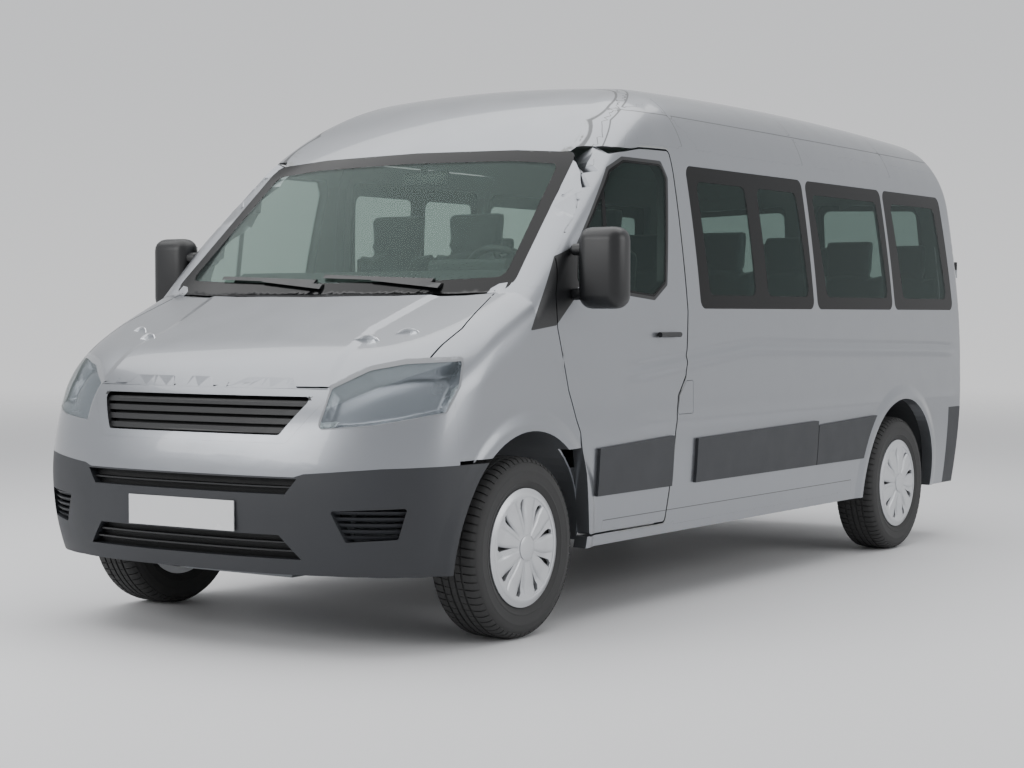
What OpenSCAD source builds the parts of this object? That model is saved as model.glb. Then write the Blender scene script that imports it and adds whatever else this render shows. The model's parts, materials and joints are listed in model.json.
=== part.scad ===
/* [Overall] */
// Distance between the wheel centres, front to rear
wheelbase = 3524; // [2900:1:4300]
// Widest half width of the body shell
half_w = 992; // [900:1:1100]
// Height of the roof crown above the ground
roof_h = 2243; // [2150:1:2700]
// Body length behind the rear wheel centre
rear_overhang = 966; // [800:1:1150]

/* [Body shell] */
// Thickness of a whole wall or door
wall = 45; // [30:1:55]
// Thickness of the window glass
glass_t = 5; // [4:0.5:8]
// Shut gap round doors and lids
gap = 6; // [4:0.5:10]
// Radius of the front and rear wheel arches
arch_r = 440; // [425:1:460]

/* [Wheels] */
// Tyre outside diameter
tyre_d = 686; // [640:1:720]
// Tyre section width
tyre_w = 215; // [185:1:225]
// Rim diameter
rim_d = 406; // [380:1:440]
// Half track: centre plane to wheel centre
half_track = 866; // [830:1:880]

/* [Doors and cabin] */
// Seam behind the front door, from the front axle
pillar_b = 1289; // [1250:1:1330]
// Lower edge of the window band
belt_z = 1244; // [1200:1:1290]
// Upper edge of the window band
band_z = 1856; // [1800:1:1880]
// Cabin floor height
floor_z = 620; // [600:1:660]
// Passenger seat rows
seat_rows = 4; // [2:1:4]

/* [Hidden] */
$fn = 48;

body_end = wheelbase + rear_overhang;
nose_y = -832;
axle_z = tyre_d / 2;
// The origin is on the ground under the middle of the body
mid_y = 1835;
fit = 0.3;
lip = 12;
lip_w = 62;
belly_z = 850;

// Colours
silver = [0.72, 0.73, 0.75];
charcoal = [0.17, 0.18, 0.20];
black = [0.06, 0.06, 0.07];
tint = [0.25, 0.32, 0.33, 0.6];
cloth = [0.22, 0.24, 0.27];
steel = [0.45, 0.46, 0.48];

// ---- Shape of the body: a smooth field, negative inside ----
function smax(a, b, k) = let (h = max(k - abs(a - b), 0) / k) max(a, b) + h * h * k / 4;
function smin(a, b, k) = -smax(-a, -b, k);
function wide(z) = half_w - (z > belly_z ? 66e-6 : 130e-6) * (z - belly_z) ^ 2;
nose_line = [
    [200, -760], [300, -800], [420, -825], [550, nose_y], [640, -826], [720, -812],
    [800, -790], [900, -757], [960, -732], [1020, -700], [1300, -550], [2400, -100]
];
tail_line = [[200, -50], [700, -15], [1200, -20], [1900, -90], [2100, -130], [2300, -210]];
function side_gap(x, y, z) =
    let (w = wide(z), a = abs(x) / w)
    y < 1500
    ? let (d = 460, t = max((lookup(z, nose_line) + d - y) / d, 0),
           fa = a ^ 2.5, ft = t ^ 2.5, s = fa + ft)
      (s ^ 0.4 - 1) * ((fa + 1e-6) * w + ft * d) / (s + 1e-6)
    : let (d = 160, t = max((y - body_end - lookup(z, tail_line) + d) / d, 0),
           fa = a ^ 3.2, ft = t ^ 2.4, s = fa + ft)
      (s ^ 0.3125 - 1) * ((fa + 1e-6) * w + ft * d) / (s + 1e-6);
function lid_z(x, y) =
    let (c = (x / 900) ^ 2,
         lid = min(1312 + 0.42 * y - 30 * c, 1360),
         nose = 965 + 1.15 * (y + 720) - 20 * c,
         screen = 1312 + (y + 10 - 70 * c) * 0.925,
         roof = roof_h - 13.5e-6 * (y - 2300) ^ 2 - 55 * c,
         cab = smin(screen, roof, 360))
    y > 600 ? cab : max(smin(lid, nose, 140), cab);
edge_line = [[-800, 100], [-300, 160], [50, 120], [300, 80], [700, 140], [1200, 300], [4500, 300]];
function field(p) =
    smax(side_gap(p.x, p.y, p.z), (p.z - lid_z(p.x, p.y)) * 0.85, lookup(p.y, edge_line));

// Distance along d from o to where the field reaches -inset
function cast(o, d, inset, a, b, fa, fb, n) =
    let (t = a - fa * (b - a) / (fb - fa), f = field(o + t * d) + inset)
    n == 0 || abs(f) < 0.02 ? t
    : f > 0 ? cast(o, d, inset, a, t, fa / 2, f, n - 1)
    : cast(o, d, inset, t, b, f, fb / 2, n - 1);
function hit(o, d, inset) =
    o + d * cast(o, d, inset, 0, 2200, field(o) + inset, field(o + 2200 * d) + inset, 30);

core_z = 900;
core_front = 60;
core_rear = body_end - 300;
rise = [
    -43, -37, -31, -25, -19, -13, -7, 0, 6, 12, 17, 22, 27, 32, 37, 42, 46, 50, 54, 58, 62, 67, 73, 79, 85
];
front_turns = [for (a = [0:7.5:180]) a];
rear_turns = [0, 4, 7.5, 10.5, 13.5, 17, 28, 55, 90, 125, 152, 163, 166.5, 169.5, 172.5, 176, 180];
runs = concat(
    [60, 130, 200, 270, 340, 410, 480, 550, 630, 710, 800, 900, 1020, 1160, 1320, 1500],
    [for (i = [1:5]) 1500 + (core_rear - 1500) * i / 5]
);
// One ring of rays at rise e, round the front, back along the right, round the rear, up the left
function ring(e) = concat(
    [for (a = front_turns) [[0, core_front, core_z], [cos(e) * cos(a), -cos(e) * sin(a), sin(e)]]],
    [for (i = [1:len(runs) - 1]) [[0, runs[i], core_z], [-cos(e), 0, sin(e)]]],
    [for (i = [1:len(rear_turns) - 1])
        [[0, core_rear, core_z], [-cos(e) * cos(rear_turns[i]), cos(e) * sin(rear_turns[i]), sin(e)]]],
    [for (i = [len(runs) - 2:-1:1]) [[0, runs[i], core_z], [cos(e), 0, sin(e)]]]
);
ring_n = len(ring(0));
front_n = len(front_turns);
run_n = len(runs);
rear_n = len(rear_turns);

// Two triangles across the diagonal that lies nearer the surface
function halves(p, q, inset) =
    abs(field((p[q[0]] + p[q[2]]) / 2) + inset) < abs(field((p[q[1]] + p[q[3]]) / 2) + inset)
    ? [[q[0], q[1], q[2]], [q[0], q[2], q[3]]]
    : [[q[0], q[1], q[3]], [q[1], q[2], q[3]]];

// The whole body as one closed solid, drawn inset from the outer surface, every step-th ring
module skin(inset = 0, step = 1) {
    levels = [for (i = [0:step:len(rise) - 1]) rise[i]];
    pts = [for (e = levels) for (r = ring(e)) hit(r[0], r[1], inset)];
    top = (len(levels) - 1) * ring_n;
    right_0 = front_n - 1;
    rear_0 = right_0 + run_n - 1;
    rear_1 = rear_0 + rear_n - 1;
    left = [for (i = [0:run_n - 1]) (rear_1 + run_n - 1 - i) % ring_n];
    polyhedron(pts, concat(
        [for (l = [0:len(levels) - 2]) for (i = [0:ring_n - 1])
            let (j = (i + 1) % ring_n)
            each halves(pts, [l * ring_n + i, l * ring_n + j, (l + 1) * ring_n + j, (l + 1) * ring_n + i], inset)],
        [[for (i = [0:front_n - 1]) top + i]],
        [for (i = [0:run_n - 2])
            [top + right_0 + i, top + right_0 + i + 1, top + left[i + 1], top + left[i]]],
        [[for (i = [0:rear_n - 1]) top + rear_0 + i]],
        [[for (i = [front_n - 1:-1:0]) i]],
        [for (i = [0:run_n - 2]) [right_0 + i + 1, right_0 + i, left[i], left[i + 1]]],
        [[for (i = [rear_n - 1:-1:0]) rear_0 + i]]
    ), convexity = 8);
}
// The layer between two insets; a deep inner face takes every second ring
module layer(from, to) {
    difference() {
        skin(from);
        skin(to, to - from > 20 ? 2 : 1);
    }
}
// A piece of the body wall, cut out by its children, meshed as one smooth shell
module panel(t = wall, from = 0) {
    resize([0, 0, 0]) intersection() {
        layer(from, from + t);
        children();
    }
}
// As panel, with a raised lip round a wheel arch
module lipped_panel(y) {
    resize([0, 0, 0]) intersection() {
        union() {
            layer(0, wall);
            intersection() {
                layer(-lip, 12);
                from_side() difference() {
                    arch_hole(y, arch_r + lip_w);
                    arch_hole(y, arch_r - 30);
                }
            }
        }
        children();
    }
}

// ---- Helpers ----
module placed() { translate([0, -mid_y, 0]) children(); }
module both() {
    children();
    mirror([1, 0, 0]) children();
}
// An outline in the side view (y, z), drawn through from x0 to x1
module from_side(x0 = 250, x1 = 1300) {
    translate([x0, 0, 0]) rotate([90, 0, 90]) linear_extrude(x1 - x0) children();
}
// An outline in the front view (x, z), drawn through from y0 to y1
module from_front(y0, y1) {
    translate([0, y1, 0]) rotate([90, 0, 0]) linear_extrude(y1 - y0) children();
}
module rounded(r) { offset(r, $fn = 24) offset(-r) children(); }
module box(lo, hi) { translate(lo) cube(hi - lo); }

// ---- Outlines in the side view, measured from the front axle ----
door_pts = [
    [202, 1167], [271, 928], [329, 810], [360, 760], [453, 352], [1069, 352], [1118, 800], [1130, 880], [1196, 962],
    [1228, 1234], [1182, 1908], [951, 1902], [722, 1866], [485, 1670], [242, 1436], [200, 1300]
];
door_window = [
    [352, 1340], [950, 1292], [1052, 1350], [1126, 1790], [1090, 1848], [800, 1848], [684, 1800], [375, 1480]
];
slide_front = pillar_b;
slide_rear = pillar_b + (body_end - pillar_b) * 0.376;
seam_2 = slide_rear;
seam_3 = pillar_b + (body_end - pillar_b) * 0.668;
band_end = body_end - 255;

module door_outline(grow = 0) { offset(delta = grow) rounded(18) polygon(door_pts); }
module slide_outline(grow = 0) {
    offset(delta = grow) rounded(30) polygon([
        [slide_front, 352], [slide_rear, 352], [slide_rear - 48, 1936], [slide_front - 30, 1936], [slide_front, 1234]
    ]);
}
module roof_outline(grow = 0) {
    offset(delta = grow) polygon([
        [300, 1881], [660, 1881], [853, 2025], [960, 2064], [body_end + 100, 2052],
        [body_end + 100, 2800], [0, 2800]
    ]);
}
module arch_hole(y, r = arch_r) { translate([y, axle_z]) circle(r, $fn = 72); }
// One pane of the window band, between two seams
module pane(y0, y1, lean0, lean1) {
    rounded(42) polygon([[y0, belt_z], [y1, belt_z], [y1 - lean1, band_z], [y0 - lean0, band_z]]);
}
module band_panes(side) {
    if (side > 0) pane(pillar_b + 62, seam_2 - 14, 50, 45);
    pane(seam_2 + 24, seam_3 - 14, 45, 60);
    pane(seam_3 + 14, band_end, 60, 90);
}
// Hinge pins: front doors in the shut line, rear doors outside the corner
door_pin = [half_w - 8.5, 235];
door_pin_z = [955, 1112];
lid_pin = [0, 1286];
flap_pin = [wide(860) - 6, 1252];
rear_pin = [893, body_end + 2];
rear_hinge_z = [660, 1060, 1470];
function rear_y(x, z) = hit([x, body_end - 400, z], [0, 1, 0], 0).y;
// ---- Masks of the body panels ----
module roof_mask(grow = 0) { from_side(-1300, 1300) roof_outline(grow); }
module door_mask(grow = 0) { from_side() door_outline(grow); }
module screen_mask(grow = 0) {
    from_front(-100, 1150) offset(delta = grow) rounded(45) polygon([
        [-866, 1312], [-500, 1296], [0, 1288], [500, 1296], [866, 1312],
        [788, 1872], [500, 1892], [0, 1900], [-500, 1892], [-788, 1872]
    ]);
}
bonnet_pts = [
    [0, -78], [400, -55], [700, -10], [808, 24], [862, -260], [850, -480], [720, -575], [590, -662],
    [478, -760], [0, -800]
];
module bonnet_mask(grow = 0) {
    intersection() {
        translate([0, 0, 956 - grow]) linear_extrude(700) offset(delta = grow)
            polygon(concat(bonnet_pts, [for (i = [len(bonnet_pts) - 1:-1:0]) [-bonnet_pts[i].x, bonnet_pts[i].y]]));
        box([-1000, -1000, 900], [1000, 200, 1420]);
    }
}
lamp_turn = 37;
module lamp_mask(grow = 0) {
    rotate([0, 0, lamp_turn]) from_front(-1300, -450)
        offset(delta = grow) rounded(18) polygon([[10, 806], [210, 822], [470, 866], [520, 960], [535, 1056],
            [330, 1046], [200, 1022], [60, 956]]);
}
// The front door's pin, grown by a margin
module door_pin_rod(r) {
    translate([door_pin.x, door_pin.y, door_pin_z[0] - (r > 3.4 ? 4 : 0)])
        cylinder(r = r, h = door_pin_z[1] - door_pin_z[0] + (r > 3.4 ? 8 : 0), $fn = 24);
}
module rear_door_mask(grow = 0) {
    from_front(body_end - 140, body_end + 200) offset(delta = grow) rounded(40)
        polygon([[5, 470], [838, 470], [862, 850], [842, 1400], [792, 1960], [600, 2000], [5, 2012]]);
}
module tail_lamp_mask(grow = 0) {
    translate([0, body_end - 118, 0]) from_front(0, 300) offset(delta = grow) rounded(14)
        polygon([[870, 780], [1100, 780], [1100, 1205], [876, 1205]]);
}
module bumper_mask(grow = 0) {
    box([-1200, -1200, 288 - grow], [1200, -276 + grow, 640 + grow]);
    both() from_front(-1200, -276 + grow) polygon([[500, 600], [490, 636 + grow], [541, 652 + grow],
        [806, 674 + grow], [1200, 690 + grow], [1200, 600]]);
}
module front_panel_mask(grow = 0) {
    difference() {
        box([-1200, -1200, 600 - grow], [1200, -440 + grow, 956 + grow]);
        grille_mask(fit);
    }
}
module grille_mask(grow = 0) {
    from_front(-1200, -500) offset(delta = grow) rounded(20)
        polygon([[-598, 948], [598, 948], [455, 758], [-455, 758]]);
}
module rear_bumper_mask(grow = 0) {
    box([-1200, wheelbase + 640 - grow, 300], [1200, body_end + 300, 470 + grow]);
    both() box([600, wheelbase + 640 - grow, 300], [1200, body_end + 300, 715 + grow]);
}

// ---- Outer panels ----
module high_roof() {
    placed() color(silver) panel(40) difference() {
        roof_mask(-fit / 2);
        screen_mask(fit);
        both() rear_door_mask(gap);
    }
}

module flap_outline(grow = 0) {
    offset(delta = grow) rounded(10) polygon([[1130, 800], [1262, 800], [1262, 938], [1206, 938], [1146, 878]]);
}
module left_side_region(with_slide) {
    difference() {
        union() {
            from_side() polygon([[400, 300], [wheelbase + 640, 300], [body_end + 200, 300],
                [body_end + 200, 2300], [500, 2300], [500, 1900], [1150, 1900], [1050, 352]]);
            box([500, 300, 300], [1300, 1150, 346]);
        }
        roof_mask(fit / 2);
        door_mask(gap + 2);
        // The jamb steps back behind the rear edge of the door
        intersection() {
            skin(4);
            from_side() offset(delta = gap + 8) door_outline();
            box([0, 700, 0], [1300, 1300, 2000]);
        }
        from_side() arch_hole(0);
        from_side() arch_hole(wheelbase);
        from_side() offset(delta = fit) band_panes(with_slide ? 1 : 0);
        rear_bumper_mask(fit);
        rear_door_mask(gap);
        tail_lamp_mask(fit);
        screen_mask(fit);
        if (with_slide) intersection() {
            difference() {
                skin(-1);
                skin(36, 2);
            }
            from_side() flap_outline(2);
        }
        if (with_slide) translate([flap_pin.x, flap_pin.y, 786]) cylinder(r = 3.3, h = 30, $fn = 16);
        if (!with_slide) from_side() slide_outline(gap);
        translate([rear_pin.x, rear_pin.y, 0]) cylinder(r = 15, h = 2500, $fn = 24);
    }
}
module body_sides() {
    placed() color(silver) {
        lipped_panel(wheelbase) left_side_region(true);
        mirror([1, 0, 0]) lipped_panel(wheelbase) left_side_region(false);
        // Hinge leaves of the rear doors
        both() for (z = rear_hinge_z) rear_leaf(z);
    }
}
module sliding_door() {
    placed() color(silver) mirror([1, 0, 0]) panel() difference() {
        from_side() slide_outline(0);
        from_side() offset(delta = fit) pane(pillar_b + 62, seam_2 - 40, 50, 45);
    }
}
// Screen pillars, scuttle, bulkhead and front wheel housings in one welded frame
module pillar_region() {
    difference() {
        both() from_side(700, 1300)
            polygon([[-60, 1306], [200, 1180], [200, 1310], [900, 2200], [900, 2300], [-200, 2300]]);
        both() left_side_region(true);
        both() fender_region(fit);
        roof_mask(fit / 2);
        screen_mask(fit);
        both() door_mask(gap);
        bonnet_mask(gap);
    }
}
module cab_frame() {
    placed() color(silver) resize([0, 0, 0]) union() {
        intersection() {
            layer(0, wall);
            pillar_region();
        }
        intersection() {
            skin(wall + fit, 2);
            difference() {
                union() {
                    box([-940, -60, 1214], [940, 306, 1244]);
                    box([-860, 280, floor_z - floor_t], [860, 306, 1240]);
                    both() difference() {
                        from_side(500, 950) arch_hole(0, arch_r + 14);
                        box([400, -700, 0], [506, 700, 560]);
                        box([400, -700, 0], [1000, 700, 330]);
                    }
                }
                both() from_side(506, 1000) arch_hole(0, arch_r + 6);
                both() from_side(200, 506) arch_hole(0, arch_r - 80);
                // Room for the front edge of the open door
                both() translate([door_pin.x, door_pin.y, 1180]) cylinder(r = 74, h = 140);
            }
        }
    }
}
module fender_region(grow = 0) {
    from_side() offset(delta = grow) polygon([[-445, 695], [-445, 1200], [-300, 1500], [30, 1330], [110, 1322],
        [196, 1300], [196, 1167], [265, 928], [323, 810], [355, 756], [360, 700]]);
}
module front_fenders() {
    placed() color(silver) both() {
        lipped_panel(0) difference() {
            fender_region();
            door_mask(gap);
            from_side() arch_hole(0);
            bonnet_mask(gap);
            lamp_mask(fit);
            screen_mask(2);
            bumper_mask(fit);
            box([0, -1000, 0], [400, 1000, 2000]);
            translate([790, lid_pin.x, lid_pin.y]) rotate([0, 90, 0]) cylinder(r = 6.4, h = 60, $fn = 24);
            box([0, -60, 1200], [778, 60, 1400]);
            door_pin_rod(3.6);
            // Room for the corner of the door to turn where the seam crosses the pin
            translate([door_pin.x, door_pin.y, 1016]) cylinder(r = 9.5, h = 56, $fn = 24);
        }
        // Door hinge pin, seated in the fender's edge
        door_pin_rod(3.4);
    }
}
module front_panel() {
    placed() color(silver) panel() difference() {
        front_panel_mask();
        bonnet_mask(gap);
        both() lamp_mask(fit);
        both() fender_region(fit);
        bumper_mask(fit);
    }
}
module front_bumper() {
    placed() color(charcoal) panel() difference() {
        bumper_mask();
        // Upper and lower air intakes
        from_front(-1200, -600) polygon([[-515, 634], [515, 634], [470, 578], [-470, 578]]);
        from_front(-1200, -600) polygon([[-440, 432], [440, 432], [520, 345], [-520, 345]]);
        both() from_front(-1200, -500) rounded(8) polygon([[642, 524], [885, 536], [850, 426], [690, 413]]);
        both() from_side() arch_hole(0);
    }
}
module grille() {
    placed() color(charcoal) {
        panel(40) difference() {
            grille_mask();
            from_front(-1200, -500) rounded(16) polygon([[-515, 922], [515, 922], [420, 786], [-420, 786]]);
            bonnet_mask(gap);
            both() lamp_mask(fit);
        }
        panel(12, 12) intersection() {
            from_front(-1200, -500) polygon([[-515, 922], [515, 922], [420, 786], [-420, 786]]);
            for (z = [792:32:900]) box([-515, -1000, z], [515, 0, z + 20]);
        }
    }
}
module headlamps() { placed() color([0.85, 0.88, 0.9]) both() panel(60) lamp_mask(); }
module bonnet() {
    placed() color(silver) {
        panel(30) difference() {
            bonnet_mask();
            both() lamp_mask(gap);
        }
        // Hinge pins into the fenders
        both() translate([785, lid_pin.x, lid_pin.y]) rotate([0, 90, 0]) cylinder(r = 6, h = 50);
    }
}
module windscreen() { placed() color(tint) panel(glass_t + 1) screen_mask(); }
module side_glass() {
    placed() color(tint) {
        panel(glass_t) from_side() band_panes(1);
        mirror([1, 0, 0]) panel(glass_t) from_side() {
            band_panes(0);
            pane(pillar_b + 62, seam_2 - 40, 50, 45);
        }
    }
}

// Rubbing strip band, standing off the outer skin
module strip_band(y0, y1) {
    resize([0, 0, 0]) intersection() {
        difference() {
            skin(-14);
            skin(-fit);
        }
        from_side(700) difference() {
            polygon([[y0, 500], [y1, 500], [y1, 712], [y0, 690]]);
            arch_hole(wheelbase, arch_r + lip_w + 4);
            arch_hole(0, arch_r + lip_w + 4);
        }
    }
}
module rubbing_strips() {
    placed() color(charcoal) {
        strip_band(pillar_b + 4, seam_2 - 3);
        strip_band(seam_2 + 3, wheelbase - 300);
        mirror([1, 0, 0]) {
            strip_band(pillar_b + 8, seam_2 - 8);
            strip_band(seam_2 + 8, wheelbase - 300);
        }
    }
}
module rear_bumper() {
    placed() color(charcoal) panel() difference() {
        rear_bumper_mask();
        both() from_side() arch_hole(wheelbase, arch_r + 40);
        both() rear_door_mask(gap);
        box([-835, body_end - 300, 475], [835, body_end + 300, 900]);
    }
}
module fuel_flap() {
    placed() color(silver) {
        panel(4) from_side() flap_outline();
        translate([flap_pin.x, flap_pin.y, 788]) cylinder(r = 3, h = 130);
    }
}
module tail_lamps() { placed() color([0.7, 0.08, 0.08]) both() panel() tail_lamp_mask(); }

// ---- Openings: doors ----
module front_door() {
    lipped_panel(0) difference() {
        from_side() door_outline();
        from_side() arch_hole(0);
        from_side() offset(delta = fit) rounded(30) polygon(door_window);
        door_pin_rod(3.6);
    }
    // Rubbing strip along the foot of the door
    strip_band(488, 1086);
    // Pull handle on its two feet
    translate([wide(1135) + 14, 1046, 1135]) {
        rotate([90, 0, 0]) cylinder(r = 11, h = 170, center = true);
        for (y = [-70, 70]) translate([-13.6, y, 0]) rotate([0, 90, 0]) cylinder(r = 9, h = 13);
    }
}
module front_door_left() { placed() color(silver) front_door(); }
module front_door_right() { placed() color(silver) mirror([1, 0, 0]) front_door(); }
module door_glass() { panel(glass_t) from_side() rounded(30) polygon(door_window); }
module door_glass_left() { placed() color(tint) door_glass(); }
module door_glass_right() { placed() color(tint) mirror([1, 0, 0]) door_glass(); }
module door_mirror() {
    resize([0, 0, 0]) difference() {
        union() {
            translate([1110, 300, 1395]) hull() {
                for (x = [-75, 75], z = [-130, 130]) translate([x, 0, z]) sphere(r = 30, $fn = 20);
                for (x = [-60, 60], z = [-120, 120]) translate([x, 75, z]) sphere(r = 20, $fn = 20);
            }
            for (z = [1290, 1400]) translate([half_w - 22, 300, z]) rotate([0, 90, 0])
                cylinder(r = 15, h = 80, $fn = 20);
        }
        skin(-fit);
    }
}
module door_mirror_left() { placed() color(black) door_mirror(); }
module door_mirror_right() { placed() color(black) mirror([1, 0, 0]) door_mirror(); }

module rear_window(grow = 0) {
    from_front(body_end - 200, body_end + 200) offset(delta = grow) rounded(45)
        polygon([[90, 1270], [765, 1270], [735, 1830], [90, 1850]]);
}
// Fixed leaf on the body corner: a plate and the lower part of the barrel
module rear_leaf(z) {
    foot = rear_y(rear_pin.x - 4, z) + fit + 0.4;
    translate([rear_pin.x, rear_pin.y, z - 45]) difference() {
        union() {
            cylinder(r = 11, h = 44);
            translate([-4, foot - rear_pin.y, 0]) cube([8, rear_pin.y - foot, 44]);
        }
        translate([0, 0, -1]) cylinder(r = 5, h = 50);
    }
}
// Moving leaf on the door: a strap across the skin, the upper barrel and the pin
module rear_strap(z) {
    foot = rear_y(rear_pin.x - 130, z) + fit + 0.4;
    translate([rear_pin.x, rear_pin.y, z - 44]) {
        cylinder(r = 4.9, h = 60);
        translate([0, 0, 43.3]) cylinder(r = 11, h = 44);
    }
    translate([rear_pin.x - 130, foot, z + 4]) cube([126, 8, 34]);
    translate([rear_pin.x - 20, foot, z + 4]) cube([16, rear_pin.y - foot, 34]);
}
module rear_door() {
    panel() difference() {
        rear_door_mask();
        rear_window(fit);
    }
    for (z = rear_hinge_z) rear_strap(z);
    // Pull handle beside the closing edge
    translate([70, rear_y(70, 1020) + 16, 1020]) {
        rotate([0, 90, 0]) cylinder(r = 10, h = 110);
        for (x = [12, 98]) translate([x, 0, 0]) rotate([90, 0, 0]) cylinder(r = 8, h = 15.2);
    }
}
module rear_door_left() { placed() color(silver) rear_door(); }
module rear_door_right() { placed() color(silver) mirror([1, 0, 0]) rear_door(); }
module rear_glass_left() { placed() color(tint) panel(glass_t) rear_window(); }
module rear_glass_right() { placed() color(tint) mirror([1, 0, 0]) panel(glass_t) rear_window(); }

// ---- Floor, frame and running gear ----
floor_t = 50;
rail_x = 430;
rail_top = floor_z - floor_t - fit;
rail_h = 115;
module cabin_floor() {
    placed() color([0.3, 0.31, 0.33]) resize([0, 0, 0]) intersection() {
        skin(wall + fit, 2);
        difference() {
            union() {
                box([-1000, 306 + fit, floor_z - floor_t], [1000, body_end - 100, floor_z]);
                both() from_side(690, 1000) arch_hole(wheelbase, arch_r + 12);
            }
            both() from_side(696, 1100) arch_hole(wheelbase, arch_r + 6);
            both() from_side(500 - fit, 1100) arch_hole(0, arch_r + 14 + fit);
            box([-1100, 1000, 0], [1100, body_end + 100, floor_z - floor_t - 140]);
        }
    }
}
// Two chassis rails, cross members, front beam, radiator panel and lower arms
module chassis_frame() {
    placed() color(steel) {
        difference() {
            union() {
                for (s = [-1, 1]) translate([s * rail_x - 35, -620, rail_top - rail_h])
                    cube([70, body_end - 180 + 620, rail_h]);
                for (y = [1250, 2700, body_end - 560])
                    box([-rail_x, y - 40, rail_top - 95], [rail_x, y + 40, rail_top - 15]);
                // Rear beam with the tow bar bolt holes
                box([-560, body_end - 186, rail_top - 190], [560, body_end - 176, rail_top]);
                box([-620, -660, rail_top - rail_h], [620, -610, rail_top]);
                // Front cross member, yokes that hold the steering knuckles
                box([-rail_x, -60, 216], [rail_x, 60, 236]);
                for (s = [-1, 1]) {
                    box([s * rail_x - 35, -60, 216], [s * rail_x + 35, 60, rail_top - rail_h]);
                    for (z = [axle_z - yoke_h - 20, axle_z + yoke_h])
                        translate([s > 0 ? rail_x : -king_x - 26, -26, z]) cube([king_x + 26 - rail_x, 52, 20]);
                }
            }
            for (s = [-1, 1]) translate([s * king_x, 0, 0]) cylinder(r = 12.1, h = 900);
            for (x = [-450, 450], z = [rail_top - 165, rail_top - 135])
                translate([x, body_end - 190, z]) rotate([-90, 0, 0]) cylinder(r = 6.5, h = 20);
        }
        // Radiator panel behind the grille
        box([-400, -609.7, 300], [400, -560, 900]);
    }
}
module engine() { placed() color([0.35, 0.36, 0.38]) box([-270, -520, 236 + fit], [270, 200, 960]); }
dash_y = 306 + fit;
module dashboard() {
    placed() color(charcoal) {
        translate([-800, 0, 0]) rotate([90, 0, 90]) linear_extrude(1600) rounded(30) polygon([
            [dash_y, 930], [dash_y, 1330], [430, 1400], [600, 1370], [640, 1240], [600, 1000], [480, 930]]);
        // Instrument hood and steering column
        translate([wheel_c.x - 190, 0, 0]) rotate([90, 0, 90]) linear_extrude(380) rounded(25)
            polygon([[420, 1300], [440, 1445], [590, 1440], [620, 1330]]);
        translate(wheel_c) rotate([-wheel_tilt, 0, 0]) translate([0, 0, -260]) cylinder(r = 34, h = 237.7);
        // Centre console down to the floor
        box([-190, dash_y, floor_z + fit], [130, 600, 1000]);
    }
}
wheel_c = [390, 760, 1340];
wheel_tilt = 52;
module steering_wheel() {
    placed() color(black) translate(wheel_c) rotate([-wheel_tilt, 0, 0]) {
        rotate_extrude($fn = 64) translate([195, 0]) circle(16);
        translate([0, 0, -22]) cylinder(r = 66, h = 40);
        for (a = [0, 180, 270]) rotate([0, 0, a]) translate([40, 0, 0]) rotate([0, 90, 0]) cylinder(r = 13, h = 155);
    }
}
// A seat: base cushion, back and head rest, measured from the floor under the hip
module seat_base(w, h) {
    translate([-w / 2, 0, 0]) rotate([90, 0, 90]) linear_extrude(w) rounded(40)
        polygon([[-280, h - 120], [190, h - 120], [200, h - 10], [-180, h + 10], [-290, h - 20]]);
}
module seat_back(w, h, top) {
    translate([-w / 2, 0, 0]) rotate([90, 0, 90]) linear_extrude(w) rounded(38)
        polygon([[190.3, h - 120], [310, h - 120], [400, top], [300, top], [203, h + 20]]);
}
module head_rest(w, z) {
    for (x = [-w / 4, w / 4]) translate([x, 352, z - 30]) cylinder(r = 7, h = 80);
    translate([-w / 2, 0, 15]) rotate([90, 0, 90]) linear_extrude(w) rounded(30)
        polygon([[310, z], [395, z], [405, z + 185], [335, z + 185]]);
}
front_y = 1000;
front_h = 440;
front_top = 880;
front_places = [[430, 470], [-200, 440], [-650, 440]];
module front_seats() {
    placed() color(cloth) for (p = front_places) translate([p.x, front_y, floor_z]) {
        seat_base(p.y, front_h);
        seat_back(p.y, front_h, front_top);
        head_rest(270, front_top);
    }
}
row_h = 430;
row_top = 800;
row_0 = pillar_b + 470;
row_step = (body_end - 550 - row_0) / (seat_rows - 1);
seat_w = 430;
row_places = [665, 225, -640];
module passenger_seats() {
    placed() color(cloth) for (i = [0:seat_rows - 1], x = row_places)
        translate([x, row_0 + i * row_step, floor_z]) {
            seat_base(seat_w, row_h);
            seat_back(seat_w, row_h, row_top);
            head_rest(250, row_top);
        }
}
// Pedestals between the floor and the cushions
module seat_frames() {
    placed() color(steel) difference() {
        union() {
            for (p = front_places)
                box([p.x - 190, front_y - 200, floor_z + fit],
                    [p.x + 190, front_y + 180, floor_z + front_h - 120 - fit]);
            for (i = [0:seat_rows - 1], x = row_places)
                translate([x, row_0 + i * row_step, floor_z + fit]) {
                    for (s = [-1, 1]) translate([s * 130 - 20, -170, 0]) cube([40, 330, row_h - 165]);
                    translate([-180, -190, row_h - 166]) cube([360, 370, 46 - 2 * fit]);
                }
        }
        for (s = [-1, 1]) translate([s * 900, wheelbase, axle_z]) rotate([0, 90, 0])
            cylinder(r = arch_r + 12 + fit, h = 2 * (900 - 690 + fit), center = true, $fn = 64);
    }
}
king_x = half_track - 66;
yoke_h = 95;
module knuckle() {
    translate([king_x, 0, axle_z]) {
        cylinder(r = 26, h = 2 * yoke_h - 0.6, center = true);
        cylinder(r = 12, h = 2 * yoke_h + 30, center = true);
        rotate([0, 90, 0]) cylinder(r = 30, h = 120);
    }
    // Steering arm, pointing back
    box([king_x - 12, 10, axle_z - 70], [king_x + 12, 130, axle_z - 50]);
}
module knuckle_left() { placed() color(steel) knuckle(); }
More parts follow.
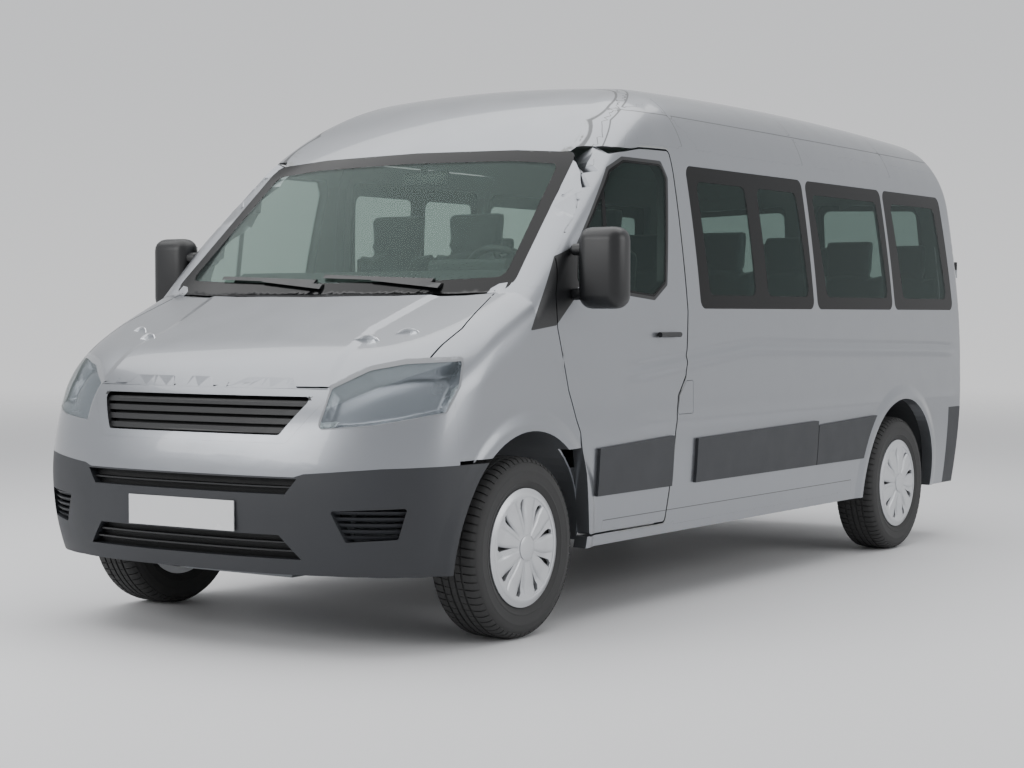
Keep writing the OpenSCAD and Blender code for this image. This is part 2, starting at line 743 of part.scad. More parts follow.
module knuckle_right() { placed() color(steel) mirror([1, 0, 0]) knuckle(); }
leaf_z = axle_z - 46;
module rear_axle() {
    placed() color(steel) {
        translate([0, wheelbase, axle_z]) rotate([0, 90, 0]) {
            cylinder(r = 38, h = 2 * (half_track - 110), center = true);
            cylinder(r = 30, h = 2 * (half_track + 54), center = true);
            cylinder(r = 120, h = 150, center = true);
        }
        for (s = [-1, 1]) translate([s * rail_x, wheelbase, 0]) {
            // Leaf pack under the axle, and the hangers at its two ends
            translate([-32, -640, leaf_z - 24]) cube([64, 1280, 24]);
            translate([-35, -80, leaf_z]) cube([70, 160, 30]);
            for (y = [-640, 600]) translate([-32, y, leaf_z]) cube([64, 40, rail_top - rail_h - leaf_z - fit]);
        }
    }
}
module fuel_tank() {
    placed() color(black)
        box([-rail_x + 35 + fit, 1500, 300], [rail_x - 35 - fit, 2300, rail_top - 100]);
}
pipe_x = -rail_x - 35 - 28 - fit;
module exhaust() {
    placed() color(steel) {
        translate([pipe_x, 500, rail_top - 60]) rotate([-90, 0, 0]) cylinder(r = 28, h = body_end - 700);
        translate([pipe_x - 45, 2350, rail_top - 75]) rotate([-90, 0, 0]) cylinder(r = 72, h = 480);
    }
}
module wheel_at(y, s) { translate([s * half_track, y, axle_z]) rotate([0, s * 90, 0]) children(); }
seat_r = rim_d / 2;
flange_r = seat_r + 17;
module rim() {
    // Disc, well and flanges in one turning
    rotate_extrude($fn = 96) polygon([
        [30.1, -10], [30.1, 60], [75, 60], [120, 44], [seat_r - 30, 56], [seat_r - 14, 80], [flange_r - 4, 80],
        [flange_r - 4, 88], [flange_r, 88], [flange_r, 80], [seat_r, 79.4], [seat_r, 40], [seat_r - 14, 20],
        [seat_r - 14, -40], [seat_r, -60], [seat_r, -79.4], [flange_r, -80], [flange_r, -88],
        [seat_r - 12, -88], [seat_r - 12, -62], [seat_r - 24, -40], [seat_r - 24, 18], [seat_r - 40, 40],
        [120, 30], [75, 30], [60, -10]
    ]);
    // Trim with nine spokes, clipped over the flange
    difference() {
        rotate_extrude($fn = 96) polygon([
            [0, 92], [45, 92], [150, 84], [seat_r - 12, 92], [flange_r + 4, 92.6], [flange_r + 4, 98],
            [seat_r, 106], [150, 98], [60, 106], [45, 109], [0, 109]
        ]);
        for (a = [0:40:320]) rotate([0, 0, a + 20]) translate([0, 0, 60]) linear_extrude(80)
            polygon([[90, -9], [168, -30], [184, -22], [184, 22], [168, 30], [90, 9]]);
    }
}
half_tread = tyre_w / 2 - 22;
module tyre() {
    rotate_extrude($fn = 96) polygon([
        [seat_r + fit, -79], [seat_r + fit, 79], [flange_r + 0.6, 79], [flange_r + 1, 91], [243, 100],
        [275, tyre_w / 2], [305, tyre_w / 2 - 2], [tyre_d / 2 - 18, half_tread + 14], [tyre_d / 2 - 5, half_tread],
        [tyre_d / 2, half_tread - 22], [tyre_d / 2, -half_tread + 22], [tyre_d / 2 - 5, -half_tread],
        [tyre_d / 2 - 18, -half_tread - 14], [305, -tyre_w / 2 + 2], [275, -tyre_w / 2], [243, -100],
        [flange_r + 1, -91], [flange_r + 0.6, -79]
    ]);
}
module front_wheel_left() { placed() color(silver) wheel_at(0, 1) rim(); }
module front_wheel_right() { placed() color(silver) wheel_at(0, -1) rim(); }
module rear_wheel_left() { placed() color(silver) wheel_at(wheelbase, 1) rim(); }
module rear_wheel_right() { placed() color(silver) wheel_at(wheelbase, -1) rim(); }
module front_tyre_left() { placed() color(black) wheel_at(0, 1) tyre(); }
module front_tyre_right() { placed() color(black) wheel_at(0, -1) tyre(); }
module rear_tyre_left() { placed() color(black) wheel_at(wheelbase, 1) tyre(); }
module rear_tyre_right() { placed() color(black) wheel_at(wheelbase, -1) tyre(); }
// Blades and arms lie along the foot of the windscreen
module wiper_bar(x0, z0, x1, z1, t) {
    from_front(-300, 400) polygon([[x0, z0 - t], [x1, z1 - t], [x1, z1 + t], [x0, z0 + t]]);
}
module wipers() {
    placed() color(black) resize([0, 0, 0]) intersection() {
        layer(-12, -fit);
        for (x = [-600, -30]) {
            wiper_bar(x, 1372, x + 540, 1352, 7);
            wiper_bar(x + 250, 1362, x + 590, 1330, 9);
        }
    }
}
module number_plate() {
    placed() color([0.88, 0.88, 0.88]) box([-260, plate_y - 4, 438], [260, plate_y, 548]);
}
plate_y = hit([0, 0, 550], [0, -1, 0], -fit).y + 3.2;

high_roof();
body_sides();
sliding_door();
cab_frame();
front_fenders();
front_panel();
front_bumper();
grille();
headlamps();
bonnet();
windscreen();
side_glass();
rubbing_strips();
rear_bumper();
tail_lamps();
wipers();
number_plate();
fuel_flap();
front_door_left();
front_door_right();
door_glass_left();
door_glass_right();
door_mirror_left();
door_mirror_right();
rear_door_left();
rear_door_right();
rear_glass_left();
rear_glass_right();
cabin_floor();
chassis_frame();
engine();
dashboard();
steering_wheel();
seat_frames();
front_seats();
passenger_seats();
knuckle_left();
knuckle_right();
rear_axle();
fuel_tank();
exhaust();
front_wheel_left();
front_wheel_right();
rear_wheel_left();
rear_wheel_right();
front_tyre_left();
front_tyre_right();
rear_tyre_left();
rear_tyre_right();
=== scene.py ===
"""Looks of a high-roof minibus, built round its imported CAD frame.

The body panels are cut finer than the CAD meshes and laid on the smooth form that the
CAD source describes. Small parts, tread, lamps, seats and finishes are added on top.
All sizes are in metres in the row frame, unless a name ends in _mm.
"""

import json  # noqa: E402
import logging  # noqa: E402
import math  # noqa: E402
from dataclasses import dataclass, field  # noqa: E402
from enum import Enum  # noqa: E402
from typing import Any, Callable, Sequence  # noqa: E402

import bmesh  # noqa: E402
import bpy  # noqa: E402
import numpy as np  # noqa: E402
from mathutils import Matrix, Vector  # noqa: E402

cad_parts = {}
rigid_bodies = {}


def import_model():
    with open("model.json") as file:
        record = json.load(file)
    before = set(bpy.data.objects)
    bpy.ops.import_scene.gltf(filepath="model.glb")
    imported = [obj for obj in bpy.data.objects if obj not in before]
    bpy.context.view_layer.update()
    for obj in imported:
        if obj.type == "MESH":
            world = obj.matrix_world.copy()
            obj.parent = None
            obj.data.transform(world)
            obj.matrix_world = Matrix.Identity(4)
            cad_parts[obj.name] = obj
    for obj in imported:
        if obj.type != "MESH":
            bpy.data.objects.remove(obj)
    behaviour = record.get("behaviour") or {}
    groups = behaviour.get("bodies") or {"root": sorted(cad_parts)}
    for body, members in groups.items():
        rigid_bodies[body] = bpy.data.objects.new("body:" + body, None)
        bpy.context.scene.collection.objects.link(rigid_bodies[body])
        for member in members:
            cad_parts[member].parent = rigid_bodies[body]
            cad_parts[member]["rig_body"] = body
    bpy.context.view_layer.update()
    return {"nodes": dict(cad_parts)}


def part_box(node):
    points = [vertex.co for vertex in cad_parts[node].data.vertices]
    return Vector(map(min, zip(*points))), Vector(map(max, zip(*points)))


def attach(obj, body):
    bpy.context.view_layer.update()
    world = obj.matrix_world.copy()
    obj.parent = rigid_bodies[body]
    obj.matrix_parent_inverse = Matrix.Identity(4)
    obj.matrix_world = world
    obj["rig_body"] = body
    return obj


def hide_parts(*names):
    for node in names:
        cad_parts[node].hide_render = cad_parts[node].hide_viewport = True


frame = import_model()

logging.basicConfig(level=logging.INFO, format="%(message)s")
log = logging.getLogger("minibus")

Array = np.ndarray
MID_MM = 1835.0
WHEELBASE_MM = 3524.0
AXLE_MM = 343.0
ARCH_MM = 440.0
HALF_TRACK = 0.866


# ---------------------------------------------------------------- numbers and outlines
def to_mm(points: Array) -> Array:
    """Turns row-frame metres into millimetres measured from the front axle.

    Args:
        points: An (n, 3) array in metres.

    Returns:
        The same points in millimetres, y growing rearward from the front axle.
    """
    return points * 1000.0 + np.array([0.0, MID_MM, 0.0])


def to_row(points_mm: Array) -> Array:
    """Turns millimetres from the front axle back into row-frame metres.

    Args:
        points_mm: An (n, 3) array in millimetres.

    Returns:
        The same points in metres.
    """
    return (points_mm - np.array([0.0, MID_MM, 0.0])) / 1000.0


def smooth(t: Array) -> Array:
    """Eases 0 to 1.

    Args:
        t: Values, clipped to 0..1.

    Returns:
        The eased values.
    """
    t = np.clip(t, 0.0, 1.0)
    return t * t * (3.0 - 2.0 * t)


def outline_distance(points: Array, outline: Sequence[Sequence[float]]) -> Array:
    """Measures how far 2-D points lie from a closed outline.

    Args:
        points: An (n, 2) array.
        outline: The outline's corners in order.

    Returns:
        Distances, negative inside.
    """
    poly = np.asarray(outline, float)
    best = np.full(len(points), 1e9)
    inside = np.zeros(len(points), bool)
    for a, b in zip(poly, np.roll(poly, -1, axis=0)):
        edge = b - a
        t = np.clip(((points - a) @ edge) / (edge @ edge), 0.0, 1.0)
        best = np.minimum(best, np.linalg.norm(points - a - t[:, None] * edge, axis=1))
        crosses = (a[1] > points[:, 1]) != (b[1] > points[:, 1])
        with np.errstate(divide="ignore", invalid="ignore"):
            x_at = a[0] + (points[:, 1] - a[1]) * edge[0] / (edge[1] if edge[1] else 1e-9)
        inside ^= crosses & (points[:, 0] < x_at)
    return np.where(inside, -best, best)


def line_distance(points: Array, line: Sequence[Sequence[float]]) -> Array:
    """Measures signed distance from an open 2-D line, positive on its left.

    Args:
        points: An (n, 2) array.
        line: The line's points in order.

    Returns:
        Signed distances.
    """
    pts = np.asarray(line, float)
    best = np.full(len(points), 1e9)
    for a, b in zip(pts[:-1], pts[1:]):
        edge = b - a
        t = np.clip(((points - a) @ edge) / (edge @ edge), 0.0, 1.0)
        gap = points - a - t[:, None] * edge
        d = np.linalg.norm(gap, axis=1) * np.where(edge[0] * gap[:, 1] - edge[1] * gap[:, 0] >= 0, 1.0, -1.0)
        best = np.where(np.abs(d) < np.abs(best), d, best)
    return best


# ---------------------------------------------------------------- the body's form
@dataclass(frozen=True)
class BodyForm:
    """The smooth outer form of the body, as a field that is negative inside (mm)."""

    half_w: float = 992.0
    roof_h: float = 2243.0
    body_end: float = 4490.0
    nose: tuple[tuple[float, ...], tuple[float, ...]] = (
        (200, 300, 420, 550, 640, 720, 800, 900, 960, 1020, 1300, 2400),
        (-760, -800, -825, -832, -826, -812, -790, -757, -732, -700, -550, -100),
    )
    tail: tuple[tuple[float, ...], tuple[float, ...]] = (
        (200, 700, 1200, 1900, 2100, 2300),
        (-50, -15, -20, -90, -130, -210),
    )
    edge: tuple[tuple[float, ...], tuple[float, ...]] = (
        (-800, -300, 50, 300, 700, 1200, 4500),
        (100, 160, 120, 80, 140, 300, 300),
    )

    @staticmethod
    def blend_max(a: Array, b: Array, k: Array | float) -> Array:
        """Rounded maximum of two fields.

        Args:
            a: First field.
            b: Second field.
            k: Width of the rounding.

        Returns:
            The joined field.
        """
        h = np.maximum(k - np.abs(a - b), 0.0) / k
        return np.maximum(a, b) + h * h * k / 4.0

    @staticmethod
    def eased(at: Array, table: tuple[tuple[float, ...], tuple[float, ...]]) -> Array:
        """Looks a value up in a table of knots, with the corners at the knots softened.

        Args:
            at: Where to look.
            table: Knots and values.

        Returns:
            The values.
        """
        return sum(np.interp(at + s, *table) for s in (-45, -27, -9, 9, 27, 45)) / 6.0

    def lid(self, x: Array, y: Array) -> Array:
        """Height of the bonnet, windscreen and roof.

        Args:
            x: Across, mm.
            y: Along, mm.

        Returns:
            Heights, mm.
        """
        c = (x / 900.0) ** 2
        lid = np.minimum(1312 + 0.42 * y - 30 * c, 1360)
        nose = 965 + 1.15 * (y + 720) - 20 * c
        screen = 1312 + (y + 10 - 70 * c) * 0.925
        roof = self.roof_h - 13.5e-6 * (y - 2300) ** 2 - 55 * c
        cab = -self.blend_max(-screen, -roof, 360.0)
        front = np.maximum(-self.blend_max(-lid, -nose, 140.0), cab)
        return np.where(y > 600, cab, front)

    def value(self, p: Array) -> Array:
        """The field, about the distance outside the form.

        Args:
            p: An (n, 3) array, mm.

        Returns:
            n values, negative inside.
        """
        x, y, z = p.T
        w = self.half_w - np.where(z > 850, 66e-6, 130e-6) * (z - 850) ** 2
        a = np.abs(x) / w
        t = np.maximum((self.eased(z, self.nose) + 460 - y) / 460, 0)
        fa, ft = a**2.5, t**2.5
        s = fa + ft
        front = (s**0.4 - 1) * ((fa + 1e-6) * w + ft * 460) / (s + 1e-6)
        t = np.maximum((y - self.body_end - self.eased(z, self.tail) + 160) / 160, 0)
        fa, ft = a**3.2, t**2.4
        s = fa + ft
        rear = (s**0.3125 - 1) * ((fa + 1e-6) * w + ft * 160) / (s + 1e-6)
        side = np.where(y < 1500, front, rear)
        return self.blend_max(side, (z - self.lid(x, y)) * 0.85, self.eased(y, self.edge))

    def relief(self, p: Array) -> Array:
        """How far pressed shapes stand out of the form: arch flares, the side crease, the bonnet's crown.

        Args:
            p: An (n, 3) array, mm.

        Returns:
            n heights, mm.
        """
        x, y, z = np.abs(p[:, 0]), p[:, 1], p[:, 2]
        side = smooth((x - 700) / 80)
        out = np.zeros(len(p))
        for centre in (0.0, WHEELBASE_MM):
            r = np.hypot(y - centre, z - AXLE_MM)
            out += 12 * smooth((ARCH_MM + 80 - r) / 58) * side
        crease = z - np.interp(y, (665, 1802, 3906, 4400), (988, 1083, 1046, 1030))
        along = smooth((y - 640) / 260) * smooth((4300 - y) / 200) * side
        out += along * (4.5 * np.exp(-(((crease + 20) / 22) ** 2)) - 4.0 * np.exp(-(((crease - 12) / 14) ** 2)))
        out += along * 3.0 * np.exp(-(((z - 775) / 26) ** 2)) * smooth((y - 700) / 200)
        half = np.interp(y, (-720, -646, -337, -60, 40), (575, 556, 512, 560, 600))
        out += 7.0 * smooth((half + 22 - x) / 44) * smooth((60 - y) / 60) * smooth((y + 700) / 90)
        return out

    def gradient(self, p: Array, with_relief: bool = True) -> Array:
        """Unit outward directions.

        Args:
            p: An (n, 3) array, mm.
            with_relief: Whether pressed shapes tilt them.

        Returns:
            An (n, 3) array of unit vectors.
        """
        out = np.zeros_like(p)
        for i in range(3):
            step = np.zeros(3)
            step[i] = 0.8
            hi, lo = p + step, p - step
            out[:, i] = self.value(hi) - self.value(lo)
            if with_relief:
                out[:, i] -= self.relief(hi) - self.relief(lo)
        return out / np.maximum(np.linalg.norm(out, axis=1), 1e-9)[:, None]

    def snap(self, p: Array, level: Array | float) -> Array:
        """Moves points on to the surface that lies level millimetres outside the form.

        Args:
            p: An (n, 3) array, mm.
            level: Wanted height over the form, mm.

        Returns:
            The moved points.
        """
        p = p.copy()
        for _ in range(3):
            g = self.gradient(p, False)
            p -= g * (self.value(p) - level)[:, None]
        return p


FORM = BodyForm()


# ---------------------------------------------------------------- meshes
@dataclass
class Mesh:
    """Triangles or quads under construction, in row-frame metres."""

    verts: Array
    faces: list[Any]

    @staticmethod
    def of_node(node: str) -> "Mesh":
        """Reads a CAD node's triangles, with doubled corners joined.

        Args:
            node: The node's name.

        Returns:
            Its mesh, as triangles.
        """
        data = frame["nodes"][node].data
        data.calc_loop_triangles()
        co = np.zeros(len(data.vertices) * 3)
        data.vertices.foreach_get("co", co)
        tri = np.zeros(len(data.loop_triangles) * 3, int)
        data.loop_triangles.foreach_get("vertices", tri)
        keys, index = np.unique(np.round(co.reshape(-1, 3), 5), axis=0, return_inverse=True)
        tri = index.ravel()[tri.reshape(-1, 3)]
        keep = (tri[:, 0] != tri[:, 1]) & (tri[:, 1] != tri[:, 2]) & (tri[:, 2] != tri[:, 0])
        return Mesh(keys, tri[keep])


def refine(verts: Array, tris: Array, limit: Callable[[Array], Array], rounds: int = 10) -> tuple[Array, Array]:
    """Splits triangle edges until none is longer than a limit that varies over space.

    Args:
        verts: An (n, 3) array.
        tris: An (m, 3) array of corner numbers.
        limit: Gives the longest allowed edge at each of some points.
        rounds: Most times the mesh is split.

    Returns:
        The finer corners and triangles.
    """
    for _ in range(rounds):
        pairs = np.sort(np.concatenate([tris[:, [0, 1]], tris[:, [1, 2]], tris[:, [2, 0]]]), axis=1)
        edges, which = np.unique(pairs, axis=0, return_inverse=True)
        a, b = verts[edges[:, 0]], verts[edges[:, 1]]
        middle = (a + b) / 2
        long = np.linalg.norm(a - b, axis=1) > limit(middle)
        if not long.any():
            break
        number = np.full(len(edges), -1)
        number[long] = len(verts) + np.arange(long.sum())
        verts = np.concatenate([verts, middle[long]])
        m = number[which.ravel()].reshape(3, -1).T
        t, cut = tris, m >= 0
        count = cut.sum(axis=1)
        out = [t[count == 0]]
        for turn in range(3):
            p, q, r = t[:, turn], t[:, (turn + 1) % 3], t[:, (turn + 2) % 3]
            pq, qr, rp = m[:, turn], m[:, (turn + 1) % 3], m[:, (turn + 2) % 3]
            one = (count == 1) & (pq >= 0)
            out.append(np.stack([p[one], pq[one], r[one]], 1))
            out.append(np.stack([pq[one], q[one], r[one]], 1))
            two = (count == 2) & (rp < 0)
            out.append(np.stack([pq[two], q[two], qr[two]], 1))
            near = np.linalg.norm(verts[p[two]] - verts[qr[two]], axis=1) < np.linalg.norm(
                verts[pq[two]] - verts[r[two]], axis=1
            )
            p2, pq2, qr2, r2 = p[two], pq[two], qr[two], r[two]
            out.append(np.where(near[:, None], np.stack([p2, pq2, qr2], 1), np.stack([p2, pq2, r2], 1)))
            out.append(np.where(near[:, None], np.stack([p2, qr2, r2], 1), np.stack([pq2, qr2, r2], 1)))
        three = count == 3
        p, q, r = t[three].T
        pq, qr, rp = m[three].T
        for tri in ((p, pq, rp), (pq, q, qr), (rp, qr, r), (pq, qr, rp)):
            out.append(np.stack(tri, 1))
        tris = np.concatenate(out)
    return verts, tris


def face_normals(verts: Array, tris: Array) -> Array:
    """Unit normals of triangles.

    Args:
        verts: Corners.
        tris: Triangles.

    Returns:
        One unit vector for each triangle.
    """
    n = np.cross(verts[tris[:, 1]] - verts[tris[:, 0]], verts[tris[:, 2]] - verts[tris[:, 0]])
    return n / np.maximum(np.linalg.norm(n, axis=1), 1e-12)[:, None]


def make_piece(
    name: str,
    verts: Array,
    faces: Any,
    materials: Sequence[bpy.types.Material],
    body: str,
    slot: str | None = None,
    replaces: Sequence[str] = (),
    normals: Array | None = None,
    face_slots: Array | None = None,
    values: dict[str, Array] | None = None,
    smooth_angle: float = 35.0,
) -> bpy.types.Object:
    """slot: The record's material slot; not used.
        replaces: CAD nodes that it stands for.
        normals: Normal of each face corner, where they are known.
        face_slots: Which material each face has.
        values: Named numbers for each corner.
        smooth_angle: Where normals aren't given, edges flatter than this are smooth.

    Returns:
        The object.
    """
    mesh = bpy.data.meshes.new(name)
    mesh.from_pydata(np.asarray(verts).tolist(), [], [list(map(int, f)) for f in faces])
    for material in materials:
        mesh.materials.append(material)
    if face_slots is not None:
        mesh.polygons.foreach_set("material_index", face_slots.astype(np.int32))
    for key, value in (values or {}).items():
        mesh.attributes.new(key, "FLOAT", "POINT").data.foreach_set("value", value.astype(np.float32))
    mesh.polygons.foreach_set("use_smooth", np.ones(len(mesh.polygons), bool))
    if normals is None:
        mesh.set_sharp_from_angle(angle=math.radians(smooth_angle))
    else:
        mesh.normals_split_custom_set(normals.tolist())
    mesh.update()
    obj = bpy.data.objects.new(name, mesh)
    bpy.context.scene.collection.objects.link(obj)
    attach(obj, body)
    if replaces:
        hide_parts(*replaces)
    log.info("%-26s %7d faces, rides on %s", name, len(mesh.polygons), body)
    return obj


def body_of(node: str) -> str:
    """The body that holds a CAD node.

    Args:
        node: Name of the node.

    Returns:
        The body's name.
    """
    return frame["nodes"][node]["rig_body"]


def revolve(profile: Sequence[Sequence[float]], count: int, closed: bool = True) -> tuple[Array, list[list[int]]]:
    """Turns a profile of (radius, across) points about the X axis.

    Args:
        profile: The points in order.
        count: Steps round the axis.
        closed: Whether the profile is a loop.

    Returns:
        Corners and quads.
    """
    pts = np.asarray(profile, float)
    turn = np.linspace(0, 2 * math.pi, count, endpoint=False)
    verts = np.stack(
        [
            np.tile(pts[:, 1], count),
            np.repeat(np.cos(turn), len(pts)) * np.tile(pts[:, 0], count),
            np.repeat(np.sin(turn), len(pts)) * np.tile(pts[:, 0], count),
        ],
        1,
    )
    n = len(pts)
    faces = []
    for i in range(count):
        j = (i + 1) % count
        for k in range(n if closed else n - 1):
            m = (k + 1) % n
            faces.append([i * n + k, j * n + k, j * n + m, i * n + m])
    return verts, faces


def rounded_box(size: Sequence[float], radius: float, steps: int = 3) -> tuple[Array, list[list[int]]]:
    """A box with rounded edges, centred on the origin.

    Args:
        size: Full size on each axis.
        radius: Radius of the edges.
        steps: Steps across each rounding.

    Returns:
        Corners and quads.
    """
    mesh = bpy.data.meshes.new("tmp")

    bm = bmesh.new()
    bmesh.ops.create_cube(bm, size=1.0)
    bmesh.ops.scale(bm, vec=Vector(size), verts=bm.verts)
    bmesh.ops.bevel(bm, geom=bm.edges[:], offset=radius, segments=steps, profile=0.5, affect="EDGES")
    bm.to_mesh(mesh)
    bm.free()
    verts = np.array([v.co for v in mesh.vertices]).reshape(-1, 3)
    faces = [list(p.vertices) for p in mesh.polygons]
    bpy.data.meshes.remove(mesh)
    return verts, faces


# ---------------------------------------------------------------- finishes
def srgb(code: str) -> tuple[float, float, float, float]:
    """Turns an sRGB hex colour into linear light.

    Args:
        code: Six hex digits.

    Returns:
        Linear red, green and blue, with alpha 1.
    """
    parts = [int(code[i : i + 2], 16) / 255 for i in (0, 2, 4)]
    linear = [c / 12.92 if c <= 0.04045 else ((c + 0.055) / 1.055) ** 2.4 for c in parts]
    return (linear[0], linear[1], linear[2], 1.0)


def add(
    tree: bpy.types.NodeTree, kind: str, inputs: dict[Any, Any] | None = None, **settings: Any
) -> bpy.types.Node:
    """Adds a node, sets its properties, and fills or links its sockets.

    Args:
        tree: The tree to add to.
        kind: The node's type.
        inputs: A value or an output socket for each input, by name or number.
        **settings: Properties of the node.

    Returns:
        The node.
    """
    node = tree.nodes.new(kind)
    for key, value in settings.items():
        setattr(node, key, value)
    for key, value in (inputs or {}).items():
        if isinstance(value, bpy.types.NodeSocket):
            tree.links.new(value, node.inputs[key])
        else:
            node.inputs[key].default_value = value
    return node


@dataclass(frozen=True)
class Finish:
    """A surface: its colour and gloss, and how both vary at real scale."""

    name: str
    colour: str
    roughness: float
    metallic: float = 0.0
    coat: float = 0.0
    grain_mm: float = 1.2
    depth_mm: float = 0.02
    spread: float = 0.06
    tone: float = 0.06
    sheen: float = 0.0
    specular: float = 0.5

    def surface(self, tree: bpy.types.NodeTree) -> bpy.types.Node:
        """Builds the shader nodes of the surface.

        Args:
            tree: The material's tree.

        Returns:
            The shader node.
        """
        at = add(tree, "ShaderNodeTexCoord").outputs["Object"]
        grain = add(tree, "ShaderNodeTexNoise", {"Vector": at, "Scale": 1000.0 / self.grain_mm, "Detail": 2.0})
        broad = add(tree, "ShaderNodeTexNoise", {"Vector": at, "Scale": 7.0, "Detail": 4.0})
        rough = add(
            tree,
            "ShaderNodeMapRange",
            {
                "Value": broad.outputs["Fac"],
                "From Min": 0.3,
                "From Max": 0.7,
                "To Min": max(self.roughness - self.spread / 2, 0.02),
                "To Max": min(self.roughness + self.spread / 2, 1.0),
            },
        )
        base = srgb(self.colour)
        dark = tuple(c * (1 - self.tone) for c in base[:3]) + (1.0,)
        mixed = add(
            tree, "ShaderNodeMix", {0: grain.outputs["Fac"], 6: dark, 7: base}, data_type="RGBA"
        )
        bump = add(
            tree,
            "ShaderNodeBump",
            {"Height": grain.outputs["Fac"], "Strength": 0.6, "Distance": self.depth_mm / 1000.0},
        )
        shader = add(
            tree,
            "ShaderNodeBsdfPrincipled",
            {
                "Base Color": mixed.outputs[2],
                "Roughness": rough.outputs["Result"],
                "Normal": bump.outputs["Normal"],
                "Metallic": self.metallic,
                "Coat Weight": self.coat,
                "Coat Roughness": 0.04,
                "Sheen Weight": self.sheen,
                "Specular IOR Level": self.specular,
            },
        )
        return shader

    def build(self) -> bpy.types.Material:
        """Makes the material.

        Returns:
            The material.
        """
        material = bpy.data.materials.new(self.name)
        material.use_nodes = True
        tree = material.node_tree
        tree.nodes.clear()
        shader = self.surface(tree)
        add(tree, "ShaderNodeOutputMaterial", {"Surface": shader.outputs[0]})
        return material


def band(tree: bpy.types.NodeTree, name: str, low: float, high: float) -> bpy.types.NodeSocket:
    """A mask from a corner attribute, 0 below low and 1 above high.

    Args:
        tree: The material's tree.
        name: The attribute.
        low: Where it starts to rise.
        high: Where it is full.

    Returns:
        The mask's socket.
    """
    value = add(tree, "ShaderNodeAttribute", attribute_name=name)
    ramp = add(
        tree, "ShaderNodeMapRange", {"Value": value.outputs["Fac"], "From Min": low, "From Max": high}
    )
    return ramp.outputs["Result"]


@dataclass(frozen=True)
class PaintFinish(Finish):
    """Metallic paint, with black trim where the trim attribute says, and fine dark lines: real roof seams and joints,
    and a painted shadow line where the sill steps in.
    """

    trim_colour: str = "141517"

    def build(self) -> bpy.types.Material:
        """Makes the paint.

        Returns:
            The material.
        """
        material = bpy.data.materials.new(self.name)
        material.use_nodes = True
        tree = material.node_tree
        tree.nodes.clear()
        paint = self.surface(tree)
        trim = Finish("trim", self.trim_colour, 0.42, grain_mm=0.8, depth_mm=0.03).surface(tree)
        # Fine dark lines: real roof seams and joints, and a painted shadow line at the sill step.
        seam = add(tree, "ShaderNodeAttribute", attribute_name="seam")
        off = add(tree, "ShaderNodeMath", {0: seam.outputs["Fac"], 1: 100.0}, operation="SUBTRACT")
        away = add(tree, "ShaderNodeMath", {0: off.outputs[0]}, operation="ABSOLUTE")
        line = add(
            tree,
            "ShaderNodeMapRange",
            {"Value": away.outputs[0], "From Min": 1.2, "From Max": 2.2, "To Min": 0.8, "To Max": 0.0},
        )
        lined = add(
            tree, "ShaderNodeMixShader", {0: line.outputs["Result"], 1: paint.outputs[0], 2: trim.outputs[0]}
        )
        both = add(
            tree, "ShaderNodeMixShader", {0: band(tree, "trim", 0.2, 0.8), 1: lined.outputs[0], 2: trim.outputs[0]}
        )
        add(tree, "ShaderNodeOutputMaterial", {"Surface": both.outputs[0]})
        return material


@dataclass(frozen=True)
class GlassFinish:
    """Tinted glass with a black printed border where the clear attribute is below zero."""

    name: str
    tint: str
    border: str = "0b0c0d"
    haze: float = 0.04

    def build(self) -> bpy.types.Material:
        """Makes the glass.

        Returns:
            The material.
        """
        material = bpy.data.materials.new(self.name)
        material.use_nodes = True
        tree = material.node_tree
        tree.nodes.clear()
        at = add(tree, "ShaderNodeTexCoord").outputs["Object"]
        waves = add(tree, "ShaderNodeTexNoise", {"Vector": at, "Scale": 2.5, "Detail": 1.0})
        bump = add(tree, "ShaderNodeBump", {"Height": waves.outputs["Fac"], "Strength": 0.15, "Distance": 0.002})
        through = add(tree, "ShaderNodeBsdfTransparent", {"Color": srgb(self.tint)})
        smear = add(
            tree,
            "ShaderNodeMapRange",
            {"Value": waves.outputs["Fac"], "From Min": 0.3, "From Max": 0.7, "To Min": 0.0, "To Max": 0.05},
        )
        shine = add(
            tree,
            "ShaderNodeBsdfPrincipled",
            {
                "Base Color": srgb("8a9694"),
                "Roughness": smear.outputs["Result"],
                "Metallic": 1.0,
                "Normal": bump.outputs["Normal"],
            },
        )
        behind = add(tree, "ShaderNodeNewGeometry").outputs["Backfacing"]
        index = add(tree, "ShaderNodeMath", {0: behind, 1: -0.8333, 2: 1.5}, operation="MULTIPLY_ADD")
        fresnel = add(tree, "ShaderNodeFresnel", {"IOR": index.outputs[0], "Normal": bump.outputs["Normal"]})
        veil = add(tree, "ShaderNodeMath", {0: fresnel.outputs[0], 1: self.haze}, operation="ADD", use_clamp=True)
        pane = add(
            tree, "ShaderNodeMixShader", {0: veil.outputs[0], 1: through.outputs[0], 2: shine.outputs[0]}
        )
        printed = Finish("border", self.border, 0.16, grain_mm=3.0, depth_mm=0.002).surface(tree)
        printed.inputs["Specular IOR Level"].default_value = 0.15
        both = add(
            tree,
            "ShaderNodeMixShader",
            {0: band(tree, "clear", -0.3, 0.3), 1: printed.outputs[0], 2: pane.outputs[0]},
        )
        add(tree, "ShaderNodeOutputMaterial", {"Surface": both.outputs[0]})
        return material


